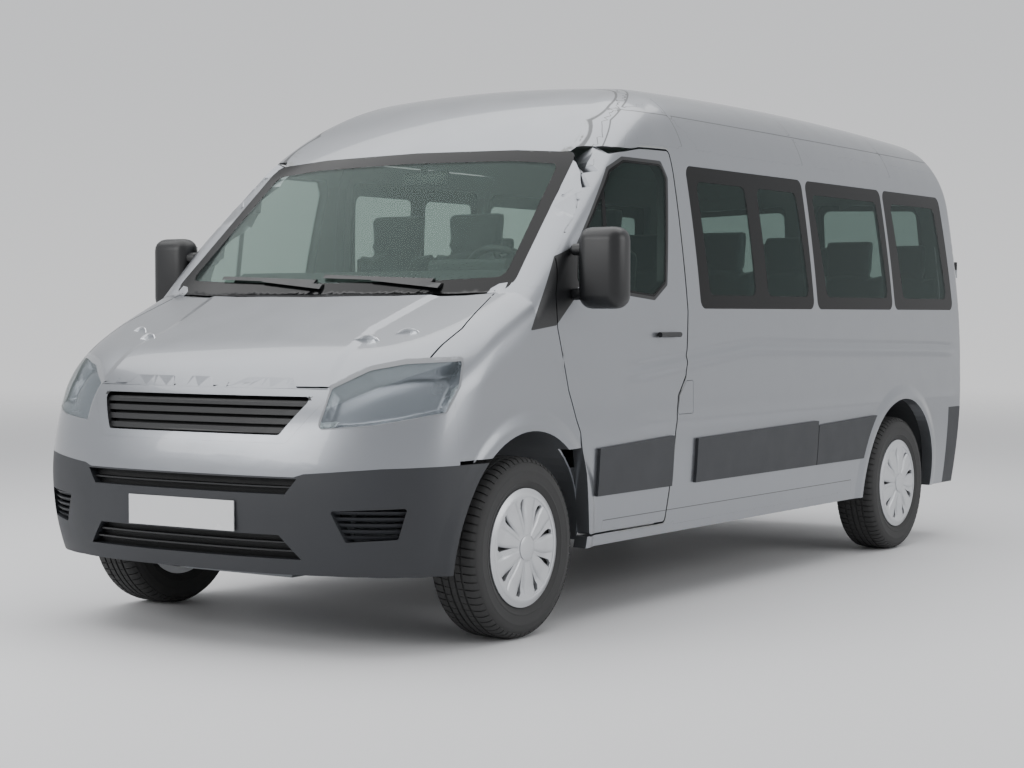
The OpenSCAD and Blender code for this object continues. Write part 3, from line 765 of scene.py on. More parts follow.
@dataclass(frozen=True)
class TailFinish(Finish):
    """Moulded tail lamp lens: red, with a clear band where the reversing lamp is."""

    def build(self) -> bpy.types.Material:
        """Makes the lens.

        Returns:
            The material.
        """
        material = bpy.data.materials.new(self.name)
        material.use_nodes = True
        tree = material.node_tree
        tree.nodes.clear()
        shader = self.surface(tree)
        at = add(tree, "ShaderNodeTexCoord").outputs["Object"]
        z = add(tree, "ShaderNodeSeparateXYZ", {0: at}).outputs["Z"]
        bands = add(tree, "ShaderNodeValToRGB", {"Fac": z})
        stops = bands.color_ramp
        stops.interpolation = "CONSTANT"
        stops.elements[0].color = srgb("8e1218")
        stops.elements[1].position, stops.elements[1].color = 0.905, srgb("c9c4c2")
        stops.elements.new(0.985).color = srgb("8e1218")
        flutes = add(
            tree, "ShaderNodeTexWave", {"Vector": at, "Scale": 60.0}, bands_direction="X", wave_profile="SIN"
        )
        bump = add(tree, "ShaderNodeBump", {"Height": flutes.outputs["Fac"], "Strength": 0.3, "Distance": 0.0006})
        tree.links.new(bands.outputs["Color"], shader.inputs["Base Color"])
        tree.links.new(bump.outputs["Normal"], shader.inputs["Normal"])
        add(tree, "ShaderNodeOutputMaterial", {"Surface": shader.outputs[0]})
        return material


class Look(Enum):
    """Every finish of the minibus, named for what it is."""

    # two-stage metallic silver paint under clear lacquer
    PAINT = PaintFinish(
        "metallic_silver_paint", "94979c", 0.32, metallic=0.85, coat=0.6, grain_mm=0.6, depth_mm=0.004, tone=0.12
    )
    # grained, moulded polypropylene
    BUMPER = Finish("moulded_polypropylene", "2a2c30", 0.55, grain_mm=0.9, depth_mm=0.05)
    # smooth black ABS
    ABS = Finish("black_ABS", "131416", 0.38, grain_mm=0.7, depth_mm=0.02)
    # matt near-black: the backing behind the grille and intakes, and painted shade behind the wheel trims' spokes
    BLACK_BACKING_AND_SHADE = Finish("black_backing_and_painted_shade", "0d0e0f", 0.6, grain_mm=0.6, depth_mm=0.03)
    # tyre rubber
    RUBBER = Finish("tyre_rubber", "1b1c1e", 0.72, grain_mm=1.5, depth_mm=0.08, spread=0.12, tone=0.2)
    # painted plastic wheel trims
    TRIMS = Finish("silver_painted_trim", "c3c5c8", 0.36, metallic=0.6, coat=0.3, grain_mm=0.7, depth_mm=0.006)
    # painted steel of the frame
    STEEL = Finish("chassis_painted_steel", "2a2c2e", 0.55, metallic=0.3, grain_mm=2.5, depth_mm=0.08, tone=0.2)
    # cast aluminium
    CAST = Finish("cast_aluminium", "777a7d", 0.5, metallic=0.9, grain_mm=1.6, depth_mm=0.1)
    # vacuum-metallised reflectors
    MIRROR = Finish("metallised_reflector", "e4e7ea", 0.06, metallic=1.0, grain_mm=8.0, depth_mm=0.002)
    # headlamp bowl moulding
    BOWL = Finish("lamp_housing_satin", "92969b", 0.25, metallic=0.7, grain_mm=4.0, depth_mm=0.02)
    AMBER = Finish("amber_bulb", "c9731d", 0.15, grain_mm=3.0, depth_mm=0.01)
    # woven seat cloth
    CLOTH = Finish("woven_seat_cloth", "34383e", 0.9, grain_mm=1.1, depth_mm=0.35, sheen=0.5, tone=0.35)
    # cabin side trims and lining
    LINING = Finish("cabin_lining", "8b8d8c", 0.85, grain_mm=1.4, depth_mm=0.1, tone=0.15)
    DASH = Finish("dashboard_soft_grain", "26282b", 0.7, grain_mm=1.0, depth_mm=0.12)
    FLOOR = Finish("floor_vinyl", "303235", 0.7, grain_mm=2.0, depth_mm=0.1, tone=0.25)
    PLATE = Finish("blank_plate_acrylic", "d4d5d6", 0.25, coat=0.5, grain_mm=2.0, depth_mm=0.004)
    TAIL = TailFinish("tail_lamp_acrylic", "8e1218", 0.12, coat=0.8, grain_mm=5.0)
    WINDOW = GlassFinish("tinted_side_glass", "cdd6d3", border="08090a", haze=0.015)
    SCREEN = GlassFinish("laminated_screen_glass", "e4ece8", haze=0.01)
    LENS = GlassFinish("clear_polycarbonate_lens", "fafbfc", border="8a8c8f", haze=0.01)

    def material(self) -> bpy.types.Material:
        """The finish's material, made the first time it is asked for.

        Returns:
            The material.
        """
        return bpy.data.materials.get(self.value.name) or self.value.build()


# ---------------------------------------------------------------- repeats, built with geometry nodes
@dataclass
class RingRepeat:
    """Copies one mesh at equal turns about the X axis through the origin."""

    count: int
    look: Look

    def tree(self) -> bpy.types.NodeTree:
        """Builds the node tree.

        Returns:
            The tree, with inputs for the mesh, the count and the material.
        """
        known = bpy.data.node_groups.get("ring_repeat")
        if known:
            return known
        tree = bpy.data.node_groups.new("ring_repeat", "GeometryNodeTree")
        face = tree.interface
        face.new_socket("Segment", in_out="INPUT", socket_type="NodeSocketGeometry")
        face.new_socket("Count", in_out="INPUT", socket_type="NodeSocketInt")
        face.new_socket("Finish", in_out="INPUT", socket_type="NodeSocketMaterial")
        face.new_socket("Ring", in_out="OUTPUT", socket_type="NodeSocketGeometry")
        given = tree.nodes.new("NodeGroupInput")
        points = add(tree, "GeometryNodePoints", {"Count": given.outputs["Count"]})
        index = add(tree, "GeometryNodeInputIndex")
        step = add(tree, "ShaderNodeMath", {0: 2 * math.pi, 1: given.outputs["Count"]}, operation="DIVIDE")
        angle = add(tree, "ShaderNodeMath", {0: index.outputs[0], 1: step.outputs[0]}, operation="MULTIPLY")
        turn = add(tree, "ShaderNodeCombineXYZ", {"X": angle.outputs[0]})
        copies = add(
            tree,
            "GeometryNodeInstanceOnPoints",
            {"Points": points.outputs[0], "Instance": given.outputs["Segment"], "Rotation": turn.outputs[0]},
        )
        real = add(tree, "GeometryNodeRealizeInstances", {0: copies.outputs[0]})
        painted = add(
            tree, "GeometryNodeSetMaterial", {"Geometry": real.outputs[0], "Material": given.outputs["Finish"]}
        )
        add(tree, "NodeGroupOutput", {0: painted.outputs[0]})
        return tree

    def make(self, verts: Array, faces: Any) -> tuple[Array, list[list[int]]]:
        """Repeats a segment and returns the ring as plain numbers.

        Args:
            verts: The segment's corners, about the X axis.
            faces: Its faces.

        Returns:
            Corners and faces of the whole ring.
        """
        mesh = bpy.data.meshes.new("segment")
        mesh.from_pydata(np.asarray(verts).tolist(), [], [list(map(int, f)) for f in faces])
        obj = bpy.data.objects.new("segment", mesh)
        bpy.context.scene.collection.objects.link(obj)
        modifier = obj.modifiers.new("ring", "NODES")
        modifier.node_group = self.tree()
        sockets = {s.name: s.identifier for s in self.tree().interface.items_tree if s.in_out == "INPUT"}
        modifier[sockets["Count"]] = self.count
        modifier[sockets["Finish"]] = self.look.material()
        made = bpy.data.meshes.new_from_object(obj.evaluated_get(bpy.context.evaluated_depsgraph_get()))
        ring = np.array([v.co for v in made.vertices]).reshape(-1, 3)
        polygons = [list(p.vertices) for p in made.polygons]
        obj.modifiers.clear()
        bpy.data.objects.remove(obj)
        bpy.data.meshes.remove(mesh)
        bpy.data.meshes.remove(made)
        return ring, polygons


# ---------------------------------------------------------------- body panels and glass
Outline = Sequence[Sequence[float]]
DOOR_WINDOW: Outline = (
    (352, 1340), (950, 1292), (1052, 1350), (1126, 1790), (1090, 1848), (800, 1848), (684, 1800), (375, 1480)
)
SAIL: Outline = ((20, 1162), (238, 1440), (372, 1490), (356, 1338), (352, 1300), (190, 1180))
SIDE_PANES: Sequence[tuple[float, float, float, float]] = (
    (1438, 1872, 1392, 1838),
    (1998, 2420, 1960, 2362),
    (2622, 3350, 2545, 3290),
    (3552, 4140, 3482, 4058),
)
ROOF_SEAMS: Sequence[Outline] = (
    ((656, 1877), (767, 1960), (853, 2025), (1010, 2100), (1201, 2178), (1330, 2240)),
    ((700, 1877), (812, 1960), (900, 2025), (1060, 2100), (1250, 2178), (1380, 2240)),
)
ROOF_UPRIGHTS = (1316.0, 2490.0, 3540.0)


def clear_of(points_mm: Array, shapes: Sequence[Outline], round_mm: float, axes: tuple[int, int]) -> Array:
    """How far points lie inside the nearest clear area with rounded corners.

    Args:
        points_mm: Points, mm.
        shapes: Outlines of the areas, inset by round_mm.
        round_mm: Radius of the corners.
        axes: Which two axes the outlines are drawn in.

    Returns:
        Distances, positive inside.
    """
    flat = points_mm[:, axes]
    return -np.min([outline_distance(flat, s) - round_mm for s in shapes], axis=0)


def trim_mask(p: Array) -> Array:
    """Where the skin is black: window rubber and the sail at the foot of the screen pillar.

    Args:
        p: Points, mm.

    Returns:
        Values that are above 0.5 where it is black.
    """
    side = np.abs(p[:, 0]) > 600
    yz = p[:, [1, 2]]
    rubber = 15 - outline_distance(yz, DOOR_WINDOW)
    sail = -outline_distance(yz, SAIL) + 4
    out = np.maximum(rubber, sail)
    return np.where(side, np.clip(out, -40, 40), -40.0)


def seam_mask(p: Array) -> Array:
    """Distance to the nearest fine dark line, plus 100: the roof's seams and gutter joint, and a painted shadow line
    where the sill steps in.

    Args:
        p: Points, mm.

    Returns:
        The values.
    """
    yz = p[:, [1, 2]]
    lines = [line_distance(yz, line) for line in ROOF_SEAMS]
    roof = np.where((p[:, 2] > 1930) & (p[:, 2] < 2160), 1.0, 0.0)
    for y in ROOF_UPRIGHTS:
        lines.append(np.where(roof > 0, yz[:, 0] - y, 60.0))
    gutter = line_distance(yz, ((940, 2078), (4420, 2052)))
    lines.append(np.where((yz[:, 0] > 960) & (yz[:, 0] < 4400), gutter, 60.0))
    # A painted shadow line where the sill steps in, at 398 mm, drawn dark like the roof seams.
    lines.append(np.where((yz[:, 0] > 560) & (yz[:, 0] < 2950), yz[:, 1] - 398, 60.0))
    stack = np.array(lines)
    pick = np.abs(stack).argmin(axis=0)
    best = np.clip(stack[pick, np.arange(len(p))], -60, 60)
    return np.where(np.abs(p[:, 0]) > 500, best, 60.0) + 100.0


@dataclass
class SkinPanel:
    """A body panel or pane, refined from its CAD node and laid on the body's smooth form."""

    node: str
    looks: Sequence[Look]
    slot: str
    thickness_mm: float = 45.0
    level_mm: float = 0.0
    edge_mm: float = 30.0
    chooser: Callable[[Array, Array], Array] | None = None
    clear: Callable[[Array], Array] | None = None
    fine: Callable[[Array], Array] | None = None
    relief: bool = True
    keep: Callable[[Array], Array] | None = None

    def limit(self, points: Array) -> Array:
        """Longest edge allowed at each point.

        Args:
            points: Points in mm.

        Returns:
            Lengths in mm.
        """
        y, z = points[:, 1], points[:, 2]
        out = np.full(len(points), self.edge_mm)
        if self.relief:
            for centre in (0.0, WHEELBASE_MM):
                r = np.hypot(y - centre, z - AXLE_MM)
                out = np.where((r < 540) & (np.abs(points[:, 0]) > 650), 12.0, out)
            crease = np.abs(z - np.interp(y, (665, 1802, 3906), (988, 1083, 1046)))
            out = np.where((crease < 60) & (y > 560) & (y < 4400) & (np.abs(points[:, 0]) > 650), 11.0, out)
            half = np.interp(y, (-720, -646, -337, -60, 40), (575, 556, 512, 560, 600))
            out = np.where((np.abs(half - np.abs(points[:, 0])) < 50) & (y < 60), 14.0, out)
        if self.fine is not None:
            out = np.minimum(out, self.fine(points))
        deep = FORM.value(points) < -16
        return np.where(deep, 120.0, out)

    def build(self) -> bpy.types.Object:
        """Makes the piece.

        Returns:
            The object.
        """
        raw = Mesh.of_node(self.node)
        verts, tris = refine(to_mm(raw.verts), raw.faces, self.limit)
        height = FORM.value(verts)
        mid = verts[tris].mean(axis=1)
        facing = np.einsum("ij,ij->i", face_normals(verts, tris), FORM.gradient(mid, False))
        shallow = FORM.value(mid) > -20
        near = shallow & (FORM.value(mid) < 20) if self.level_mm < 5 else shallow
        outer = (facing > 0.6) & near
        inner = (facing < -0.6) & (self.thickness_mm < 8) & shallow
        if self.keep is not None:
            loose = self.keep(mid)
            outer &= ~loose
            inner &= ~loose
        level = np.full(len(verts), np.nan)
        level[np.unique(tris[inner])] = self.level_mm - self.thickness_mm
        top = np.unique(tris[outer])
        lift = FORM.relief(verts[top]) if self.relief else 0.0
        level[top] = self.level_mm + lift
        if self.relief:
            wall = np.isnan(level) & (height > -7) & (np.abs(verts[:, 0]) > 700)
            if self.keep is not None:
                kept = np.zeros(len(verts), bool)
                kept[np.unique(tris[loose])] = True
                wall &= ~kept
            level[wall] = FORM.relief(verts[wall]) + self.level_mm
        moved = ~np.isnan(level)
        verts[moved] = FORM.snap(verts[moved], level[moved])
        normals = np.repeat(face_normals(verts, tris)[:, None, :], 3, axis=1)
        grad = FORM.gradient(verts, self.relief)
        normals[outer] = grad[tris[outer]]
        normals[inner] = -grad[tris[inner]]
        slots = np.zeros(len(tris), int)
        if len(self.looks) > 1 and self.chooser is None:
            slots[facing < -0.5] = 1
        if self.chooser is not None:
            slots = self.chooser(mid, facing)
        values = {"trim": trim_mask(verts), "seam": seam_mask(verts)}
        if self.clear is not None:
            values = {"clear": self.clear(verts)}
        return make_piece(
            self.node + "_skin",
            to_row(verts),
            tris,
            [look.material() for look in self.looks],
            body_of(self.node),
            self.slot,
            [self.node],
            normals.reshape(-1, 3),
            slots,
            values,
        )


def door_parts(mid: Array, facing: Array) -> Array:
    """Chooses the finish of each face of a front door.

    Args:
        mid: Middles of the faces, mm.
        facing: How far each faces outward.

    Returns:
        0 for paint, 1 for lining, 2 for the strip, 3 for the handle.
    """
    slots = np.where(facing < -0.5, 1, 0)
    out = FORM.value(mid)
    slots[(out > 0.1) & (mid[:, 2] > 495) & (mid[:, 2] < 720) & (mid[:, 1] > 480)] = 2
    slots[(out > 0.6) & (mid[:, 2] > 1105) & (mid[:, 2] < 1160) & (mid[:, 1] > 930)] = 3
    return slots


def door_loose(mid: Array) -> Array:
    """Faces of a front door that stand off its skin: the strip and the handle.

    Args:
        mid: Middles of the faces, mm.

    Returns:
        True where a face isn't laid on the form.
    """
    out = FORM.value(mid)
    strip = (out > 0.1) & (mid[:, 2] > 495) & (mid[:, 2] < 720) & (mid[:, 1] > 480)
    handle = (out > 0.6) & (mid[:, 2] > 1105) & (mid[:, 2] < 1160) & (mid[:, 1] > 930)
    return strip | handle


def rear_parts(mid: Array, facing: Array) -> Array:
    """Chooses the finish of each face of a rear door.

    Args:
        mid: Middles of the faces, mm.
        facing: How far each faces outward.

    Returns:
        0 for paint, 1 for lining, 2 for hinges and handle.
    """
    return np.where(FORM.value(mid) > 0.5, 2, np.where(facing < -0.5, 1, 0))


def grille_parts(mid: Array, facing: Array) -> Array:
    """Chooses the finish of each face of the grille.

    Args:
        mid: Middles of the faces, mm.
        facing: How far each faces outward.

    Returns:
        0 for the painted surround, 1 for the slats and the inner rim.
    """
    x, z = np.abs(mid[:, 0]), mid[:, 2]
    opening = outline_distance(np.stack([x, z], 1), ((0, 922), (515, 922), (420, 786), (0, 786)))
    return np.where(opening < -0.4, 1, np.where(facing < 0.4, 1, 0))


def standing_off(limit_mm: float) -> Callable[[Array], Array]:
    """Makes a test for faces that stand off the skin.

    Args:
        limit_mm: Height over the form, mm.

    Returns:
        The test.
    """
    return lambda mid: FORM.value(mid) > limit_mm


def sunk_in(limit_mm: float) -> Callable[[Array], Array]:
    """Makes a test for faces that lie sunk under the skin.

    Args:
        limit_mm: Depth under the form, mm.

    Returns:
        The test.
    """
    return lambda mid: FORM.value(mid) < -limit_mm


def near_outline(shape: Outline, axes: tuple[int, int], size: float = 9.0) -> Callable[[Array], Array]:
    """Makes a limit that is fine near an outline.

    Args:
        shape: The outline, mm.
        axes: The axes that it is drawn in.
        size: The fine limit, mm.

    Returns:
        The limit's function.
    """
    return lambda p: np.where(np.abs(outline_distance(p[:, axes], shape)) < 30, size, 1000.0)


def lamp_plane(p: Array) -> Array:
    """Turns points into the headlamp's own front plane.

    Args:
        p: Points, mm.

    Returns:
        An (n, 2) array.
    """
    a = math.radians(LAMP_TURN)
    return np.stack([np.abs(p[:, 0]) * math.cos(a) + p[:, 1] * math.sin(a), p[:, 2]], 1)


LAMP_TURN = 37.0
REFLECTORS = (("dip", 205.0, 930.0, 70.0), ("main", 355.0, 962.0, 62.0), ("turn", 470.0, 1000.0, 30.0))
LAMP: Outline = ((10, 806), (210, 822), (470, 866), (520, 960), (535, 1056), (330, 1046), (200, 1022), (60, 956))


@dataclass
class BodySkin:
    """All the refined panels and panes."""

    made: list[bpy.types.Object] = field(default_factory=list)

    def panels(self) -> list[SkinPanel]:
        """Lists the panels.

        Returns:
            One entry for each CAD node that is replaced.
        """
        paint = (Look.PAINT, Look.LINING)
        window = near_outline(DOOR_WINDOW, (1, 2), 12.0)
        sail = near_outline(SAIL, (1, 2), 12.0)

        def side_clear(p: Array) -> Array:
            """How far points lie inside the clear part of a side pane.

            Args:
                p: Points, mm.

            Returns:
                One number for each point, mm.
            """
            shapes = [((a + 34, 1339), (b - 34, 1339), (d - 34, 1756), (c + 34, 1756)) for a, b, c, d in SIDE_PANES]
            return clear_of(p, shapes, 36.0, (1, 2))

        def door_clear(p: Array) -> Array:
            """How far points lie inside a clear part of a door glass.

            Args:
                p: Points, mm.

            Returns:
                One number for each point, mm.
            """
            edge = -outline_distance(p[:, [1, 2]], DOOR_WINDOW) - 9
            divider = np.abs(p[:, 1] - (575 + 0.06 * (p[:, 2] - 1300))) - 13
            return np.minimum(edge, divider)

        def screen_clear(p: Array) -> Array:
            """How far points lie inside the clear part of the windscreen.

            Args:
                p: Points, mm.

            Returns:
                One number for each point, mm.
            """
            shape = (
                (-772, 1392), (-500, 1380), (0, 1374), (500, 1380), (772, 1392),
                (708, 1800), (500, 1818), (0, 1826), (-500, 1818), (-708, 1800),
            )
            return clear_of(p, [shape], 30.0, (0, 2))

        def rear_clear(p: Array) -> Array:
            """How far points lie inside the clear part of a rear glass.

            Args:
                p: Points, mm.

            Returns:
                One number for each point, mm.
            """
            shape = ((165, 1345), (690, 1345), (665, 1760), (165, 1775))
            flat = np.abs(p) * [1, 0, 0] + p * [0, 1, 1]
            return clear_of(flat, [shape], 40.0, (0, 2))

        def side_fine(p: Array) -> Array:
            """Finer edges near the printed border of the side panes.

            Args:
                p: Points, mm.

            Returns:
                One number for each point, mm.
            """
            return np.where(np.abs(side_clear(p)) < 45, 26.0, 1000.0)

        out = [
            SkinPanel("high_roof", paint, "silver_paint", edge_mm=34.0),
            SkinPanel("body_sides", paint, "silver_paint", keep=standing_off(14.0)),
            SkinPanel("sliding_door", paint, "silver_paint"),
            SkinPanel("cab_frame", paint, "silver_paint", fine=sail, keep=lambda mid: mid[:, 2] > 1600),
            SkinPanel("front_fenders", paint, "silver_paint", edge_mm=22.0, fine=sail),
            SkinPanel("front_panel", (Look.PAINT, Look.ABS), "silver_paint", edge_mm=20.0),
            SkinPanel("bonnet", (Look.PAINT, Look.LINING), "silver_paint", edge_mm=24.0),
            SkinPanel("front_bumper", (Look.BUMPER, Look.BUMPER), "charcoal_plastic", edge_mm=20.0),
            SkinPanel("rear_bumper", (Look.BUMPER, Look.BUMPER), "charcoal_plastic", edge_mm=24.0),
            SkinPanel("fuel_flap", (Look.PAINT, Look.PAINT), "silver_paint", thickness_mm=4.0, relief=True),
            SkinPanel(
                "grille", (Look.PAINT, Look.ABS), "charcoal_plastic", edge_mm=18.0, chooser=grille_parts,
                relief=False, keep=sunk_in(9.0),
            ),
            SkinPanel("tail_lamps", (Look.TAIL, Look.TAIL), "tail_lens", relief=False, edge_mm=16.0),
            SkinPanel(
                "windscreen", (Look.SCREEN,), "window_glass", 6.0, relief=False, edge_mm=30.0, clear=screen_clear
            ),
            SkinPanel(
                "side_glass", (Look.WINDOW,), "window_glass", 5.0, relief=False, edge_mm=80.0, clear=side_clear,
                fine=side_fine,
            ),
        ]
        for side in ("left", "right"):
            out += [
                SkinPanel(
                    f"front_door_{side}",
                    (Look.PAINT, Look.LINING, Look.BUMPER, Look.ABS),
                    "silver_paint",
                    chooser=door_parts,
                    fine=lambda p: np.minimum(window(p), sail(p)),
                    keep=door_loose,
                ),
                SkinPanel(
                    f"door_glass_{side}", (Look.WINDOW,), "window_glass", 5.0, relief=False, clear=door_clear,
                    fine=lambda p: np.full(len(p), 22.0),
                ),
                SkinPanel(
                    f"rear_door_{side}", (Look.PAINT, Look.LINING, Look.ABS), "silver_paint", chooser=rear_parts,
                    keep=standing_off(0.4),
                ),
                SkinPanel(
                    f"rear_glass_{side}", (Look.WINDOW,), "window_glass", 5.0, relief=False, clear=rear_clear
                ),
            ]
        return out

    def build(self) -> None:
        """Makes every panel."""
        self.made = [panel.build() for panel in self.panels()]


# ---------------------------------------------------------------- floor, light and camera
@dataclass(frozen=True)
class Studio:
    """Pale studio: a floor that fades into the backdrop, soft lights and the camera."""

    camera_at: tuple[float, float, float] = (5.096, -8.077, 1.215)
    azimuth: float = 33.853
    down: float = 1.964
    lens_mm: float = 70.35

    def floor(self) -> None:
        """Makes the floor disc, which fades out with distance."""
        count = 96
        turn = np.linspace(0, 2 * math.pi, count, endpoint=False)
        ring = np.stack([34 * np.cos(turn), 34 * np.sin(turn), np.zeros(count)], 1)
        mesh = bpy.data.meshes.new("studio_floor")
        mesh.from_pydata(ring.tolist(), [], [list(range(count))])
        material = bpy.data.materials.new("matt_studio_floor")
        material.use_nodes = True
        tree = material.node_tree
        tree.nodes.clear()
        at = add(tree, "ShaderNodeTexCoord").outputs["Object"]
        far = add(tree, "ShaderNodeVectorMath", {0: at}, operation="LENGTH")
        fade = add(
            tree,
            "ShaderNodeMapRange",
            {"Value": far.outputs["Value"], "From Min": 7.0, "From Max": 26.0},
            interpolation_type="SMOOTHSTEP",
        )
        speck = add(tree, "ShaderNodeTexNoise", {"Vector": at, "Scale": 160.0})
        bump = add(tree, "ShaderNodeBump", {"Height": speck.outputs["Fac"], "Strength": 0.1, "Distance": 0.0005})
        shader = add(
            tree,
            "ShaderNodeBsdfPrincipled",
            {"Base Color": srgb("dcdcdd"), "Roughness": 0.55, "Normal": bump.outputs["Normal"]},
        )
        away = add(tree, "ShaderNodeBsdfTransparent")
        mixed = add(
            tree, "ShaderNodeMixShader", {0: fade.outputs["Result"], 1: shader.outputs[0], 2: away.outputs[0]}
        )
        add(tree, "ShaderNodeOutputMaterial", {"Surface": mixed.outputs[0]})
        mesh.materials.append(material)
        obj = bpy.data.objects.new("studio_floor", mesh)
        bpy.context.scene.collection.objects.link(obj)

    def world(self) -> None:
        """Fills the surroundings with a soft grey gradient."""
        world = bpy.data.worlds.new("studio_backdrop")
        bpy.context.scene.world = world
        world.use_nodes = True
        tree = world.node_tree
        tree.nodes.clear()
        at = add(tree, "ShaderNodeTexCoord").outputs["Generated"]
        z = add(tree, "ShaderNodeSeparateXYZ", {0: at}).outputs["Z"]
        height = add(tree, "ShaderNodeMapRange", {"Value": z, "From Min": -0.5, "From Max": 0.5})
        ramp = add(tree, "ShaderNodeValToRGB", {"Fac": height.outputs["Result"]})
        stops = ramp.color_ramp
        stops.elements[0].position, stops.elements[0].color = 0.0, srgb("dedede")
        stops.elements[1].position, stops.elements[1].color = 1.0, srgb("c4c5c7")
        stops.elements.new(0.47).color = srgb("dcdcdd")
        stops.elements.new(0.62).color = srgb("cfd0d2")
        light = add(tree, "ShaderNodeBackground", {"Color": ramp.outputs["Color"], "Strength": 1.3})
        add(tree, "ShaderNodeOutputWorld", {"Surface": light.outputs[0]})

    def lamp(
        self, name: str, at: Sequence[float], to: Sequence[float], size: Sequence[float], watts: float
    ) -> None:
        """Adds a soft rectangular light.

        Args:
            name: Its name.
            at: Where it is.
            to: What it points at.
            size: Width and height.
            watts: Its power.
        """
        data = bpy.data.lights.new(name, "AREA")
        data.shape, data.size, data.size_y, data.energy = "RECTANGLE", size[0], size[1], watts
        obj = bpy.data.objects.new(name, data)
        obj.location = at
        obj.rotation_euler = (Vector(to) - Vector(at)).to_track_quat("-Z", "Y").to_euler()
        obj.visible_camera = False
        bpy.context.scene.collection.objects.link(obj)

    def build(self) -> None:
        """Makes the whole studio."""
        self.floor()
        self.world()
        self.lamp("overhead_softbox", (-0.5, -0.5, 6.2), (0, 0, 0), (7.5, 11.0), 520)
        self.lamp("front_softbox", (-3.5, -9.0, 4.2), (0, -1.5, 1.0), (6.0, 3.0), 260)
        self.lamp("side_softbox", (9.5, 1.5, 4.0), (0, 0.5, 0.9), (8.0, 3.5), 260)
        a, e = math.radians(self.azimuth), math.radians(self.down)
        ahead = Vector((-math.sin(a) * math.cos(e), math.cos(a) * math.cos(e), -math.sin(e)))
        data = bpy.data.cameras.new("camera")
        data.lens, data.sensor_width, data.sensor_fit = self.lens_mm, 36.0, "HORIZONTAL"
        camera = bpy.data.objects.new("camera", data)
        camera.location = self.camera_at
        camera.rotation_euler = ahead.to_track_quat("-Z", "Y").to_euler()
        bpy.context.scene.collection.objects.link(camera)
        bpy.context.scene.camera = camera


# ---------------------------------------------------------------- parts added on top
def mirrored(verts: Array, faces: Any, side: int) -> tuple[Array, list[list[int]]]:
    """Mirrors a left-hand part to the right where it is asked for.

    Args:
        verts: Corners.
        faces: Faces.
        side: 1 for left, -1 for right.

    Returns:
        Corners and faces with normals still facing out.
    """
    if side > 0:
        return np.asarray(verts, float), [list(f) for f in faces]
    return np.asarray(verts, float) * [-1, 1, 1], [list(f)[::-1] for f in faces]


def joined(parts: Sequence[tuple[Array, Any]]) -> tuple[Array, list[list[int]]]:
    """Puts several meshes into one.

    Args:
        parts: Pairs of corners and faces.

    Returns:
        Corners and faces.
    """
    verts, faces, start = [], [], 0
    for v, f in parts:
        verts.append(np.asarray(v, float))
        faces += [[int(i) + start for i in face] for face in f]
        start += len(v)
    return np.concatenate(verts), faces


